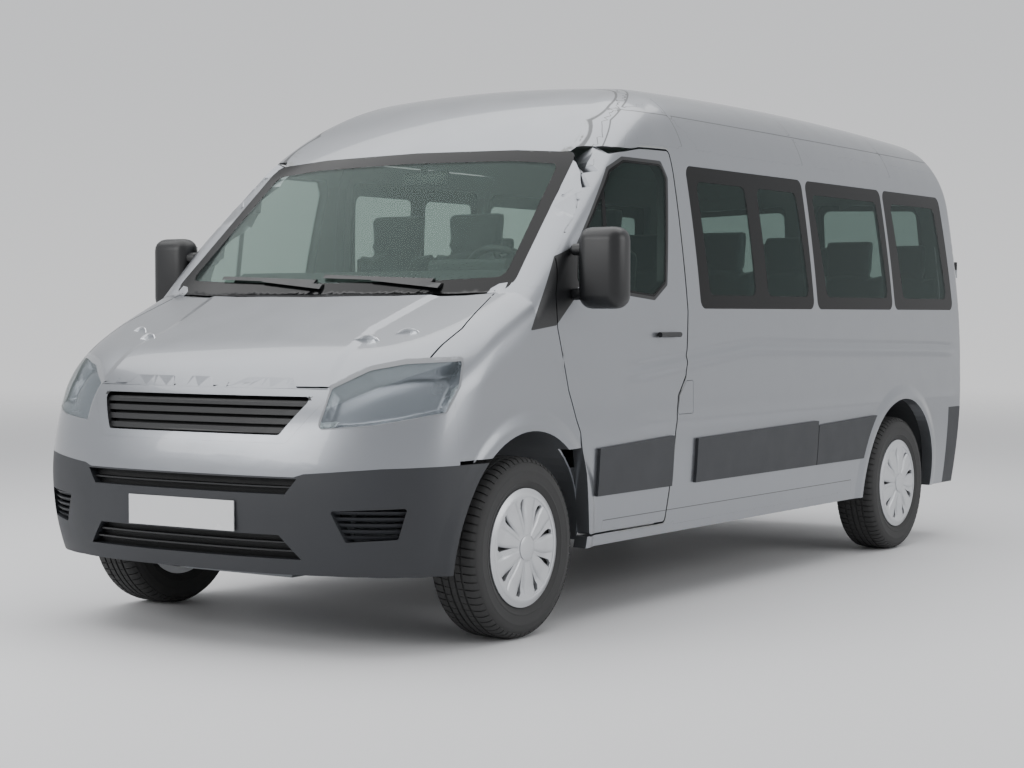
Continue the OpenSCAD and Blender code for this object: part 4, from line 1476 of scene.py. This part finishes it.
@dataclass
class Wheel:
    """A tyre with its tread, and the trim over the rim, at one corner of the vehicle."""

    name: str
    y_mm: float
    side: int

    def carcass(self) -> tuple[Array, list[list[int]]]:
        """Turns the tyre's body, with the tread base sunk under the blocks.

        Returns:
            Corners and faces about the X axis.
        """
        half = [
            (0.336, 0.0), (0.336, 0.058), (0.3345, 0.074), (0.329, 0.088), (0.320, 0.0975), (0.311, 0.1035),
            (0.300, 0.1065), (0.292, 0.1070), (0.2905, 0.1078), (0.287, 0.1078), (0.2855, 0.1072), (0.270, 0.1068),
            (0.256, 0.1045), (0.2545, 0.1052), (0.250, 0.1050), (0.2485, 0.1035), (0.240, 0.1000), (0.232, 0.0955),
            (0.2275, 0.0925), (0.2225, 0.091), (0.2206, 0.088), (0.2205, 0.079), (0.2035, 0.079),
        ]
        profile = [(r, -t) for r, t in half[:0:-1]] + list(half)
        return revolve(profile, 128)

    def tread(self) -> tuple[Array, list[list[int]]]:
        """Makes one step of the tread pattern and repeats it round the tyre.

        Returns:
            Corners and faces about the X axis.
        """
        count = 68
        pitch = 2 * math.pi / count
        ribs = [
            ([(0.3345, -0.0105), (0.343, -0.0095), (0.3432, 0.0095), (0.3345, 0.0105)], 0.0, 0.97, 0.0),
            ([(0.3345, 0.0175), (0.343, 0.0185), (0.3428, 0.0405), (0.3345, 0.0415)], 0.03, 0.9, 0.25),
            ([(0.3345, -0.0415), (0.3428, -0.0405), (0.343, -0.0185), (0.3345, -0.0175)], 0.03, 0.9, -0.25),
            (
                [(0.334, 0.0485), (0.3425, 0.0495), (0.3422, 0.064), (0.3385, 0.0815), (0.3325, 0.0915),
                 (0.3235, 0.0995), (0.318, 0.0955), (0.328, 0.078)],
                0.0, 0.8, 0.35,
            ),
            (
                [(0.328, -0.078), (0.318, -0.0955), (0.3235, -0.0995), (0.3325, -0.0915), (0.3385, -0.0815),
                 (0.3422, -0.064), (0.3425, -0.0495), (0.334, -0.0485)],
                0.0, 0.8, -0.35,
            ),
        ]
        parts = []
        for profile, start, share, slant in ribs:
            steps = 3
            verts = []
            for k in range(steps):
                for r, t in profile:
                    a = pitch * (start + share * k / (steps - 1) + slant * abs(t) / 0.1)
                    verts.append((t, r * math.cos(a), r * math.sin(a)))
            n = len(profile)
            faces = [list(range(n - 1, -1, -1)), [(steps - 1) * n + i for i in range(n)]]
            for k in range(steps - 1):
                for i in range(n):
                    j = (i + 1) % n
                    faces.append([k * n + i, k * n + j, (k + 1) * n + j, (k + 1) * n + i])
            parts.append((np.array(verts), faces))
        return RingRepeat(count, Look.RUBBER).make(*joined(parts))

    def trim(self) -> tuple[Array, list[list[int]]]:
        """Makes one raised spoke of the wheel trim and repeats it nine times.

        Returns:
            Corners and faces about the X axis, the outer face towards +X.
        """
        rows = 13
        across = np.array([-1.0, -0.86, -0.45, 0.0, 0.45, 0.86, 1.0])
        crown = np.array([0.0, 0.75, 0.95, 1.0, 0.95, 0.75, 0.0])
        verts = []
        for k in range(rows):
            t = k / (rows - 1)
            r = 0.052 + 0.150 * t
            half = 0.0168 + 0.0192 * math.sin(min(t * 1.15, 1.0) * math.pi / 2) + 0.004 * t
            lift = 0.0065 * math.sin(math.pi * min(max(t * 1.08, 0.05), 0.97)) + 0.001
            base = float(np.interp(r, (0.045, 0.06, 0.15, 0.203), (0.1085, 0.1055, 0.0975, 0.1055)))
            for a, c in zip(across, crown):
                verts.append((base - 0.003 + (lift + 0.003) * c, r, half * a))
        n = len(across)
        faces = []
        for k in range(rows - 1):
            for i in range(n - 1):
                faces.append([k * n + i, k * n + i + 1, (k + 1) * n + i + 1, (k + 1) * n + i])
        v, f = np.array(verts), faces
        back = v.copy()
        back[:, 0] -= 0.006
        m = len(v)
        rim = list(range(n)) + [k * n + n - 1 for k in range(1, rows)] + [
            (rows - 1) * n + i for i in range(n - 2, -1, -1)
        ] + [k * n for k in range(rows - 2, 0, -1)]
        f = f + [[i + m for i in face[::-1]] for face in faces]
        for a, b in zip(rim, rim[1:] + rim[:1]):
            f.append([b, a, a + m, b + m])
        return RingRepeat(9, Look.TRIMS).make(np.concatenate([v, back]), f)

    def build(self) -> None:
        """Makes the tyre, the trim and a dark disc of painted shade behind its spokes, and puts them on the wheel's
        body.
        """
        end, hand = self.name.split("_")
        tyre, wheel = f"{end}_tyre_{hand}", f"{end}_wheel_{hand}"
        at = np.array([self.side * HALF_TRACK, (self.y_mm - MID_MM) / 1000, AXLE_MM / 1000])
        rubber = joined([self.carcass(), self.tread()])
        v, f = mirrored(*rubber, self.side)
        make_piece(f"{self.name}_tyre", v + at, f, [Look.RUBBER.material()], body_of(tyre), "tyre_rubber", [tyre],
                   smooth_angle=32)
        v, f = mirrored(*self.trim(), self.side)
        make_piece(f"{self.name}_spokes", v + at, f, [Look.TRIMS.material()], body_of(wheel), "wheel_silver",
                   smooth_angle=60)
        # A near-black disc just behind the trim: painted shade in the gaps between the spokes, where the silver rim
        # would show.
        painted_shade_disc = revolve([(0.05, 0.083), (0.05, 0.0845), (0.196, 0.0845), (0.196, 0.083)], 64)
        v, f = mirrored(*painted_shade_disc, self.side)
        make_piece(f"{self.name}_shade", v + at, f, [Look.BLACK_BACKING_AND_SHADE.material()], body_of(wheel))
        cap = revolve([(0.0, 0.1095), (0.046, 0.1075), (0.047, 0.112), (0.041, 0.1148), (0.0, 0.1158)], 48)
        ring = revolve([(0.190, 0.094), (0.192, 0.1065), (0.198, 0.1085), (0.207, 0.1050), (0.209, 0.094)], 96)
        v, f = mirrored(*joined([cap, ring]), self.side)
        make_piece(f"{self.name}_cap", v + at, f, [Look.TRIMS.material()], body_of(wheel), "wheel_silver",
                   smooth_angle=40)


@dataclass
class Wheels:
    """The four wheels."""

    def build(self) -> None:
        """Makes them."""
        for name, y, side in (
            ("front_left", 0.0, 1), ("front_right", 0.0, -1),
            ("rear_left", WHEELBASE_MM, 1), ("rear_right", WHEELBASE_MM, -1),
        ):
            Wheel(name, y, side).build()


@dataclass
class Headlamp:
    """A headlamp: clear lens, satin bowl behind it, and two bright reflectors."""

    side: int

    def lens_clear(self, p: Array) -> Array:
        """How far points lie inside the lens's black edge.

        Args:
            p: Points, mm.

        Returns:
            Distances, mm.
        """
        return -outline_distance(lamp_plane(p), LAMP) - 5.0

    def shells(self) -> tuple[Array, Array, Array]:
        """Cuts the lens's outer face out of the CAD lamp.

        Returns:
            Its corners in mm, its triangles, and the corner pairs round its edge.
        """
        raw = Mesh.of_node("headlamps")
        verts = to_mm(raw.verts)
        tris = raw.faces[(verts[raw.faces][:, :, 0].mean(axis=1) * self.side) > 0]
        verts, tris = refine(verts, tris, lambda p: np.full(len(p), 15.0))
        mid = verts[tris].mean(axis=1)
        facing = np.einsum("ij,ij->i", face_normals(verts, tris), FORM.gradient(mid, False))
        tris = tris[(facing > 0.6) & (FORM.value(mid) > -16)]
        used, index = np.unique(tris, return_inverse=True)
        verts, tris = verts[used], index.reshape(-1, 3)
        edges = np.concatenate([tris[:, [0, 1]], tris[:, [1, 2]], tris[:, [2, 0]]])
        keys = {tuple(e) for e in edges.tolist()}
        rim = np.array([e for e in edges.tolist() if (e[1], e[0]) not in keys])
        return verts, tris, rim

    def build(self) -> None:
        """Makes the lamp's pieces."""
        tag = "left" if self.side > 0 else "right"
        verts, tris, rim = self.shells()
        n = len(verts)
        top, low = FORM.snap(verts, 0.0), FORM.snap(verts, -3.0)
        walls = [[a, b, b + n, a + n] for b, a in rim.tolist()]
        faces = tris.tolist() + (tris[:, ::-1] + n).tolist() + walls
        both = np.concatenate([top, low])
        piece = make_piece(
            f"headlamp_lens_{tag}", to_row(both), faces, [Look.LENS.material()], "body", "lamp_lens", (),
            values={"clear": np.concatenate([self.lens_clear(top), self.lens_clear(low)])}, smooth_angle=50,
        )
        if self.side > 0:
            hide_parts("headlamps")
        inset = -outline_distance(lamp_plane(verts), LAMP)
        depth = -5.0 - 50.0 * smooth(inset / 26.0)
        make_piece(
            f"headlamp_bowl_{tag}", to_row(FORM.snap(verts, depth)), tris.tolist(), [Look.BOWL.material()], "body",
            smooth_angle=50,
        )
        for label, u, z, size in REFLECTORS:
            self.dish(f"headlamp_{label}_{tag}", u, z, size, label)

    def dish(self, name: str, u: float, z: float, size: float, label: str) -> None:
        """Sets a round reflector with its bulb behind the lens.

        Args:
            name: Its name.
            u: Its place across the lamp's front plane, mm.
            z: Its height, mm.
            size: Its radius, mm.
            label: Which lamp it is.
        """
        a = math.radians(LAMP_TURN)
        start = np.array([[u * math.cos(a) + 640 * math.sin(a), u * math.sin(a) - 640 * math.cos(a), z]])
        at = FORM.snap(start, -24.0)[0]
        out = FORM.gradient(at[None, :], False)[0]
        aim = Vector(0.45 * out + 0.55 * np.array([math.sin(a) * 0.5, -1.0, 0.0])).normalized()
        profile = [
            (0.004, -0.62), (0.3, -0.58), (0.6, -0.42), (0.85, -0.16), (0.97, 0.02), (1.0, 0.04), (1.03, 0.0)
        ]
        v, f = revolve([(r * size, t * size) for r, t in profile], 40, closed=False)
        turn = np.array(Vector((1, 0, 0)).rotation_difference(aim).to_matrix())
        bulb = [(0.0, 0.28 * size), (4.5, 0.24 * size), (6.5, 0.1 * size), (6.5, -0.5 * size)]
        bulb_v, bulb_f = revolve(bulb, 20, closed=False)
        bulb_look = Look.AMBER if label == "turn" else Look.BOWL
        for part, pv, pf, look in (("", v, f, Look.MIRROR), ("_bulb", bulb_v, bulb_f, bulb_look)):
            placed = pv @ turn.T + at
            placed[:, 0] *= self.side
            make_piece(
                name + part, to_row(placed), [q if self.side > 0 else q[::-1] for q in pf],
                [look.material()], "body", smooth_angle=60,
            )


@dataclass
class Lamps:
    """Both headlamps."""

    def build(self) -> None:
        """Makes them."""
        for side in (1, -1):
            Headlamp(side).build()


@dataclass
class FrontDetails:
    """Cowl, blanking panels and slats in the nose, lamp louvres, and the interior mirror."""

    def slab(self, name: str, low: Sequence[float], high: Sequence[float], look: Look, radius: float = 2.0,
             tilt: float = 0.0) -> None:
        """Adds a rounded bar.

        Args:
            name: Its name.
            low: Low corner, mm from the front axle.
            high: High corner.
            look: Its finish.
            radius: Radius of its edges, mm.
            tilt: Turn about X, degrees.
        """
        lo, hi = np.array(low, float), np.array(high, float)
        v, f = rounded_box((hi - lo) / 1000, radius / 1000)
        spin = np.array(Matrix.Rotation(math.radians(tilt), 3, "X"))
        placed = v @ spin.T + to_row((lo + hi)[None, :] / 2)[0]
        make_piece(name, placed, f, [look.material()], "body", smooth_angle=40)

    def wrapped(self, x: Array, z: float, rim: Sequence[tuple[float, float]], start: float, rounds: int,
                slope: float) -> tuple[Array, list[list[int]]]:
        """Wraps a bar round the nose.

        Args:
            x: Places along it, mm.
            z: Its middle height, mm.
            rim: Depth and height of each edge of its section, mm.
            start: Where the search for the surface starts, mm.
            rounds: How many steps the search takes.
            slope: The least slope that the search allows.

        Returns:
            Corners in mm, and faces.
        """
        rows = []
        for level, rise in rim:
            p = np.stack([x, np.full(len(x), start), np.full(len(x), z + rise)], 1)
            for _ in range(rounds):
                g = FORM.gradient(p, False)
                p[:, 1] -= (FORM.value(p) + level) / np.minimum(g[:, 1], -slope)
            rows.append(p)
        n, count = len(rows), len(x)
        faces = [list(range(n)), [(count - 1) * n + i for i in range(n - 1, -1, -1)]]
        for i in range(count - 1):
            for k in range(n):
                m = (k + 1) % n
                faces.append([i * n + k, (i + 1) * n + k, (i + 1) * n + m, i * n + m])
        return np.stack(rows, 1).reshape(-1, 3), faces

    def bent_bar(
        self, name: str, half: float, z: float, height: float, depth: tuple[float, float], look: Look
    ) -> None:
        """Adds a bar that follows the nose.

        Args:
            name: Its name.
            half: Half its width, mm.
            z: Its middle height, mm.
            height: Its height, mm.
            depth: How deep its front and back lie, mm.
            look: Its finish.
        """
        front, back = depth
        rim = [
            (front, -0.3 * height), (front, 0.3 * height), (front + 3, 0.5 * height),
            (back, 0.5 * height), (back, -0.5 * height), (front + 3, -0.5 * height),
        ]
        v, faces = self.wrapped(np.linspace(-half, half, 49), z, rim, -800.0, 4, 0.3)
        make_piece(name, to_row(v), faces, [look.material()], "body", smooth_angle=40)

    def fog_louvres(self, side: int) -> None:
        """Adds the louvres of one fog lamp recess.

        Args:
            side: 1 for left, -1 for right.
        """
        tag = "left" if side > 0 else "right"
        rim = ((9.0, 6.0), (22.0, -7.0), (30.0, -7.0), (30.0, 6.0))
        for k in range(5):
            z = 430.0 + 22.0 * k
            low, high = np.interp(z, (413, 524), (688, 640)), np.interp(z, (426, 536), (852, 884))
            v, faces = mirrored(*self.wrapped(np.linspace(low, high, 15), z, rim, -700.0, 6, 0.25), side)
            make_piece(
                f"fog_louvre_{tag}_{k + 1}", to_row(v), faces, [Look.BUMPER.material()], "body", smooth_angle=30
            )

    def cowl(self) -> None:
        """Fills the trough between the bonnet and the windscreen."""
        x = np.linspace(-800, 800, 41)
        back = np.interp(np.abs(x), (0, 400, 700, 808), (-84, -62, -18, 14))
        rows = []
        for t, drop in ((0.0, 30), (0.1, 13), (0.5, 9), (1.0, 6)):
            y = back + t * (44 + 70 * (x / 900) ** 2 - back * 0.4)
            rows.append(np.stack([x, y, FORM.lid(x, y) - drop], 1))
        v = np.concatenate(rows)
        n = len(x)
        faces = [
            [k * n + i, k * n + i + 1, (k + 1) * n + i + 1, (k + 1) * n + i] for k in range(3) for i in range(n - 1)
        ]
        make_piece("cowl_panel", to_row(v), faces, [Look.ABS.material()], "body", smooth_angle=50)

    def build(self) -> None:
        """Makes them all."""
        self.cowl()
        self.bent_bar("grille_backing", 520, 854, 150, (40, 46), Look.BLACK_BACKING_AND_SHADE)
        self.bent_bar("intake_backing_upper", 520, 606, 66, (42, 50), Look.BLACK_BACKING_AND_SHADE)
        self.bent_bar("intake_slat_upper", 500, 603, 9, (14, 38), Look.ABS)
        self.bent_bar("intake_backing_lower", 535, 388, 96, (42, 50), Look.BLACK_BACKING_AND_SHADE)
        self.bent_bar("intake_slat_lower_1", 470, 404, 10, (16, 38), Look.ABS)
        self.bent_bar("intake_slat_lower_2", 500, 374, 10, (14, 38), Look.ABS)
        for side in (1, -1):
            self.fog_louvres(side)
        self.slab("interior_mirror", (-120, 678, 1765), (120, 706, 1833), Look.ABS, 12.0)
        self.slab("interior_mirror_stem", (-9, 664, 1815), (9, 700, 1872), Look.ABS, 4.0)


@dataclass
class DoorMirrors:
    """Rounded mirror housings with two arms and their glass, in place of the plain CAD ones."""

    def build(self) -> None:
        """Makes both."""
        for side, tag in ((1, "left"), (-1, "right")):
            node = f"door_mirror_{tag}"
            low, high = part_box(node)
            mid = (np.array(low) + np.array(high)) / 2
            outer = side * max(abs(low[0]), abs(high[0]))
            depth = high[1] - low[1]
            parts = []
            for size, at in (
                ((0.200, depth, 0.314), (outer - side * 0.101, mid[1], mid[2] + 0.002)),
                ((0.110, 0.052, 0.046), (outer - side * 0.190, mid[1] - 0.008, mid[2] - 0.098)),
                ((0.110, 0.052, 0.046), (outer - side * 0.190, mid[1] - 0.008, mid[2] + 0.074)),
            ):
                v, f = rounded_box(size, min(size) * 0.42, 5)
                parts.append((v + np.array(at), f))
            piece = make_piece(f"{node}_shell", *joined(parts), [Look.ABS.material()], body_of(node), "black_plastic",
                               [node], smooth_angle=60)
            log.info("made %s", piece.name)
            v, f = rounded_box((0.140, 0.003, 0.250), 0.001, 1)
            at = (outer - side * 0.101, high[1] + 0.0005, mid[2] + 0.002)
            make_piece(f"mirror_glass_{tag}", v + np.array(at), f, [Look.MIRROR.material()], body_of(node))


@dataclass
class Seats:
    """Padded seats in place of the plain CAD ones, one simulated shape for each kind of pad."""

    pads: dict[tuple[int, ...], tuple[Array, list[list[int]]]] = field(default_factory=dict)

    def parts_of(self, node: str) -> list[tuple[Array, Array]]:
        """Splits a CAD node into its separate solids.

        Args:
            node: The node.

        Returns:
            Corners and triangles of each solid.
        """
        raw = Mesh.of_node(node)
        label = np.arange(len(raw.verts))
        while True:
            low = label[raw.faces].min(axis=1)
            new = label.copy()
            for k in range(3):
                np.minimum.at(new, raw.faces[:, k], low)
            new = new[new]
            if (new == label).all():
                break
            label = new
        out = []
        for root in np.unique(label):
            mine = label[raw.faces[:, 0]] == root
            used, index = np.unique(raw.faces[mine], return_inverse=True)
            out.append((raw.verts[used], index.reshape(-1, 3)))
        return out

    def pad(self, verts: Array, faces: Array) -> tuple[Array, list[list[int]]]:
        """Plumps a solid up into a cushion, once for each shape.

        Args:
            verts: The solid's corners.
            faces: Its triangles.

        Returns:
            Corners, measured from its low corner, and faces.
        """
        low, high = verts.min(axis=0), verts.max(axis=0)
        key = tuple(np.round((high - low) * 200).astype(int))
        if key in self.pads:
            return self.pads[key]
        mesh = bpy.data.meshes.new("pad")
        mesh.from_pydata((verts - low).tolist(), [], faces.tolist())
        obj = bpy.data.objects.new("pad", mesh)
        bpy.context.scene.collection.objects.link(obj)
        remesh = obj.modifiers.new("remesh", "REMESH")
        remesh.mode, remesh.voxel_size = "VOXEL", 0.0175
        done = bpy.data.meshes.new_from_object(obj.evaluated_get(bpy.context.evaluated_depsgraph_get()))
        obj.modifiers.clear()
        obj.data = done
        rest = np.array([v.co for v in done.vertices]).reshape(-1, 3)
        moved = rest
        cloth = obj.modifiers.new("cloth", "CLOTH")
        cloth.settings.quality = 4
        cloth.settings.use_pressure = True
        cloth.settings.uniform_pressure_force = 4.0
        cloth.settings.effector_weights.gravity = 0.0
        cloth.settings.tension_stiffness = 12.0
        scene = bpy.context.scene
        for step in range(1, 13):
            scene.frame_set(step)
        after = obj.evaluated_get(bpy.context.evaluated_depsgraph_get()).to_mesh()
        moved = np.array([v.co for v in after.vertices]).reshape(-1, 3)
        scene.frame_set(1)
        obj.modifiers.clear()
        shift = moved - rest
        size = np.linalg.norm(shift, axis=1)
        shift *= (np.minimum(size, 0.016) / np.maximum(size, 1e-9))[:, None]
        made = rest + np.nan_to_num(shift)
        made = np.clip(made, -0.012, (high - low) + 0.012)
        result = (made, [list(p.vertices) for p in done.polygons])
        bpy.data.objects.remove(obj)
        self.pads[key] = result
        return result

    def build(self) -> None:
        """Makes every seat."""
        for node in ("front_seats", "passenger_seats"):
            posts, count, last = [], 0, None
            for verts, faces in self.parts_of(node):
                size = verts.max(axis=0) - verts.min(axis=0)
                if size[0] < 0.03:
                    posts.append((verts, faces))
                    continue
                v, f = self.pad(verts, faces)
                count += 1
                last = make_piece(
                    f"{node}_pad_{count:02d}", v + verts.min(axis=0), f, [Look.CLOTH.material()], "body",
                    "seat_fabric", smooth_angle=80,
                )
            if posts:
                v, f = joined(posts)
                make_piece(f"{node}_posts", v, f, [Look.CAST.material()], "body")
            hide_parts(node)


NODE_LOOKS: dict[str, Look] = {
    "rubbing_strips": Look.BUMPER, "wipers": Look.ABS, "number_plate": Look.PLATE,
    "cabin_floor": Look.FLOOR,
    "chassis_frame": Look.STEEL, "engine": Look.CAST, "dashboard": Look.DASH, "steering_wheel": Look.ABS,
    "seat_frames": Look.STEEL, "knuckle_left": Look.CAST, "knuckle_right": Look.CAST, "rear_axle": Look.STEEL,
    "fuel_tank": Look.ABS, "exhaust": Look.CAST, "front_wheel_left": Look.TRIMS, "front_wheel_right": Look.TRIMS,
    "rear_wheel_left": Look.TRIMS, "rear_wheel_right": Look.TRIMS,
}


def paint_frame() -> None:
    """Gives the CAD nodes that stay shown their finishes."""
    for node, look in NODE_LOOKS.items():
        data = frame["nodes"][node].data
        data.materials.clear()
        data.materials.append(look.material())
        data.polygons.foreach_set("material_index", np.zeros(len(data.polygons), np.int32))


EXTRAS: tuple[tuple[str, type], ...] = (
    ("wheels", Wheels), ("headlamps", Lamps), ("front details", FrontDetails),
    ("door mirrors", DoorMirrors), ("seats", Seats),
)


def main() -> None:
    """Builds the whole look."""
    BodySkin().build()
    for name, parts in EXTRAS:
        log.info("building %s", name)
        parts().build()
    paint_frame()
    Studio().build()


if __name__ == "__main__":
    main()
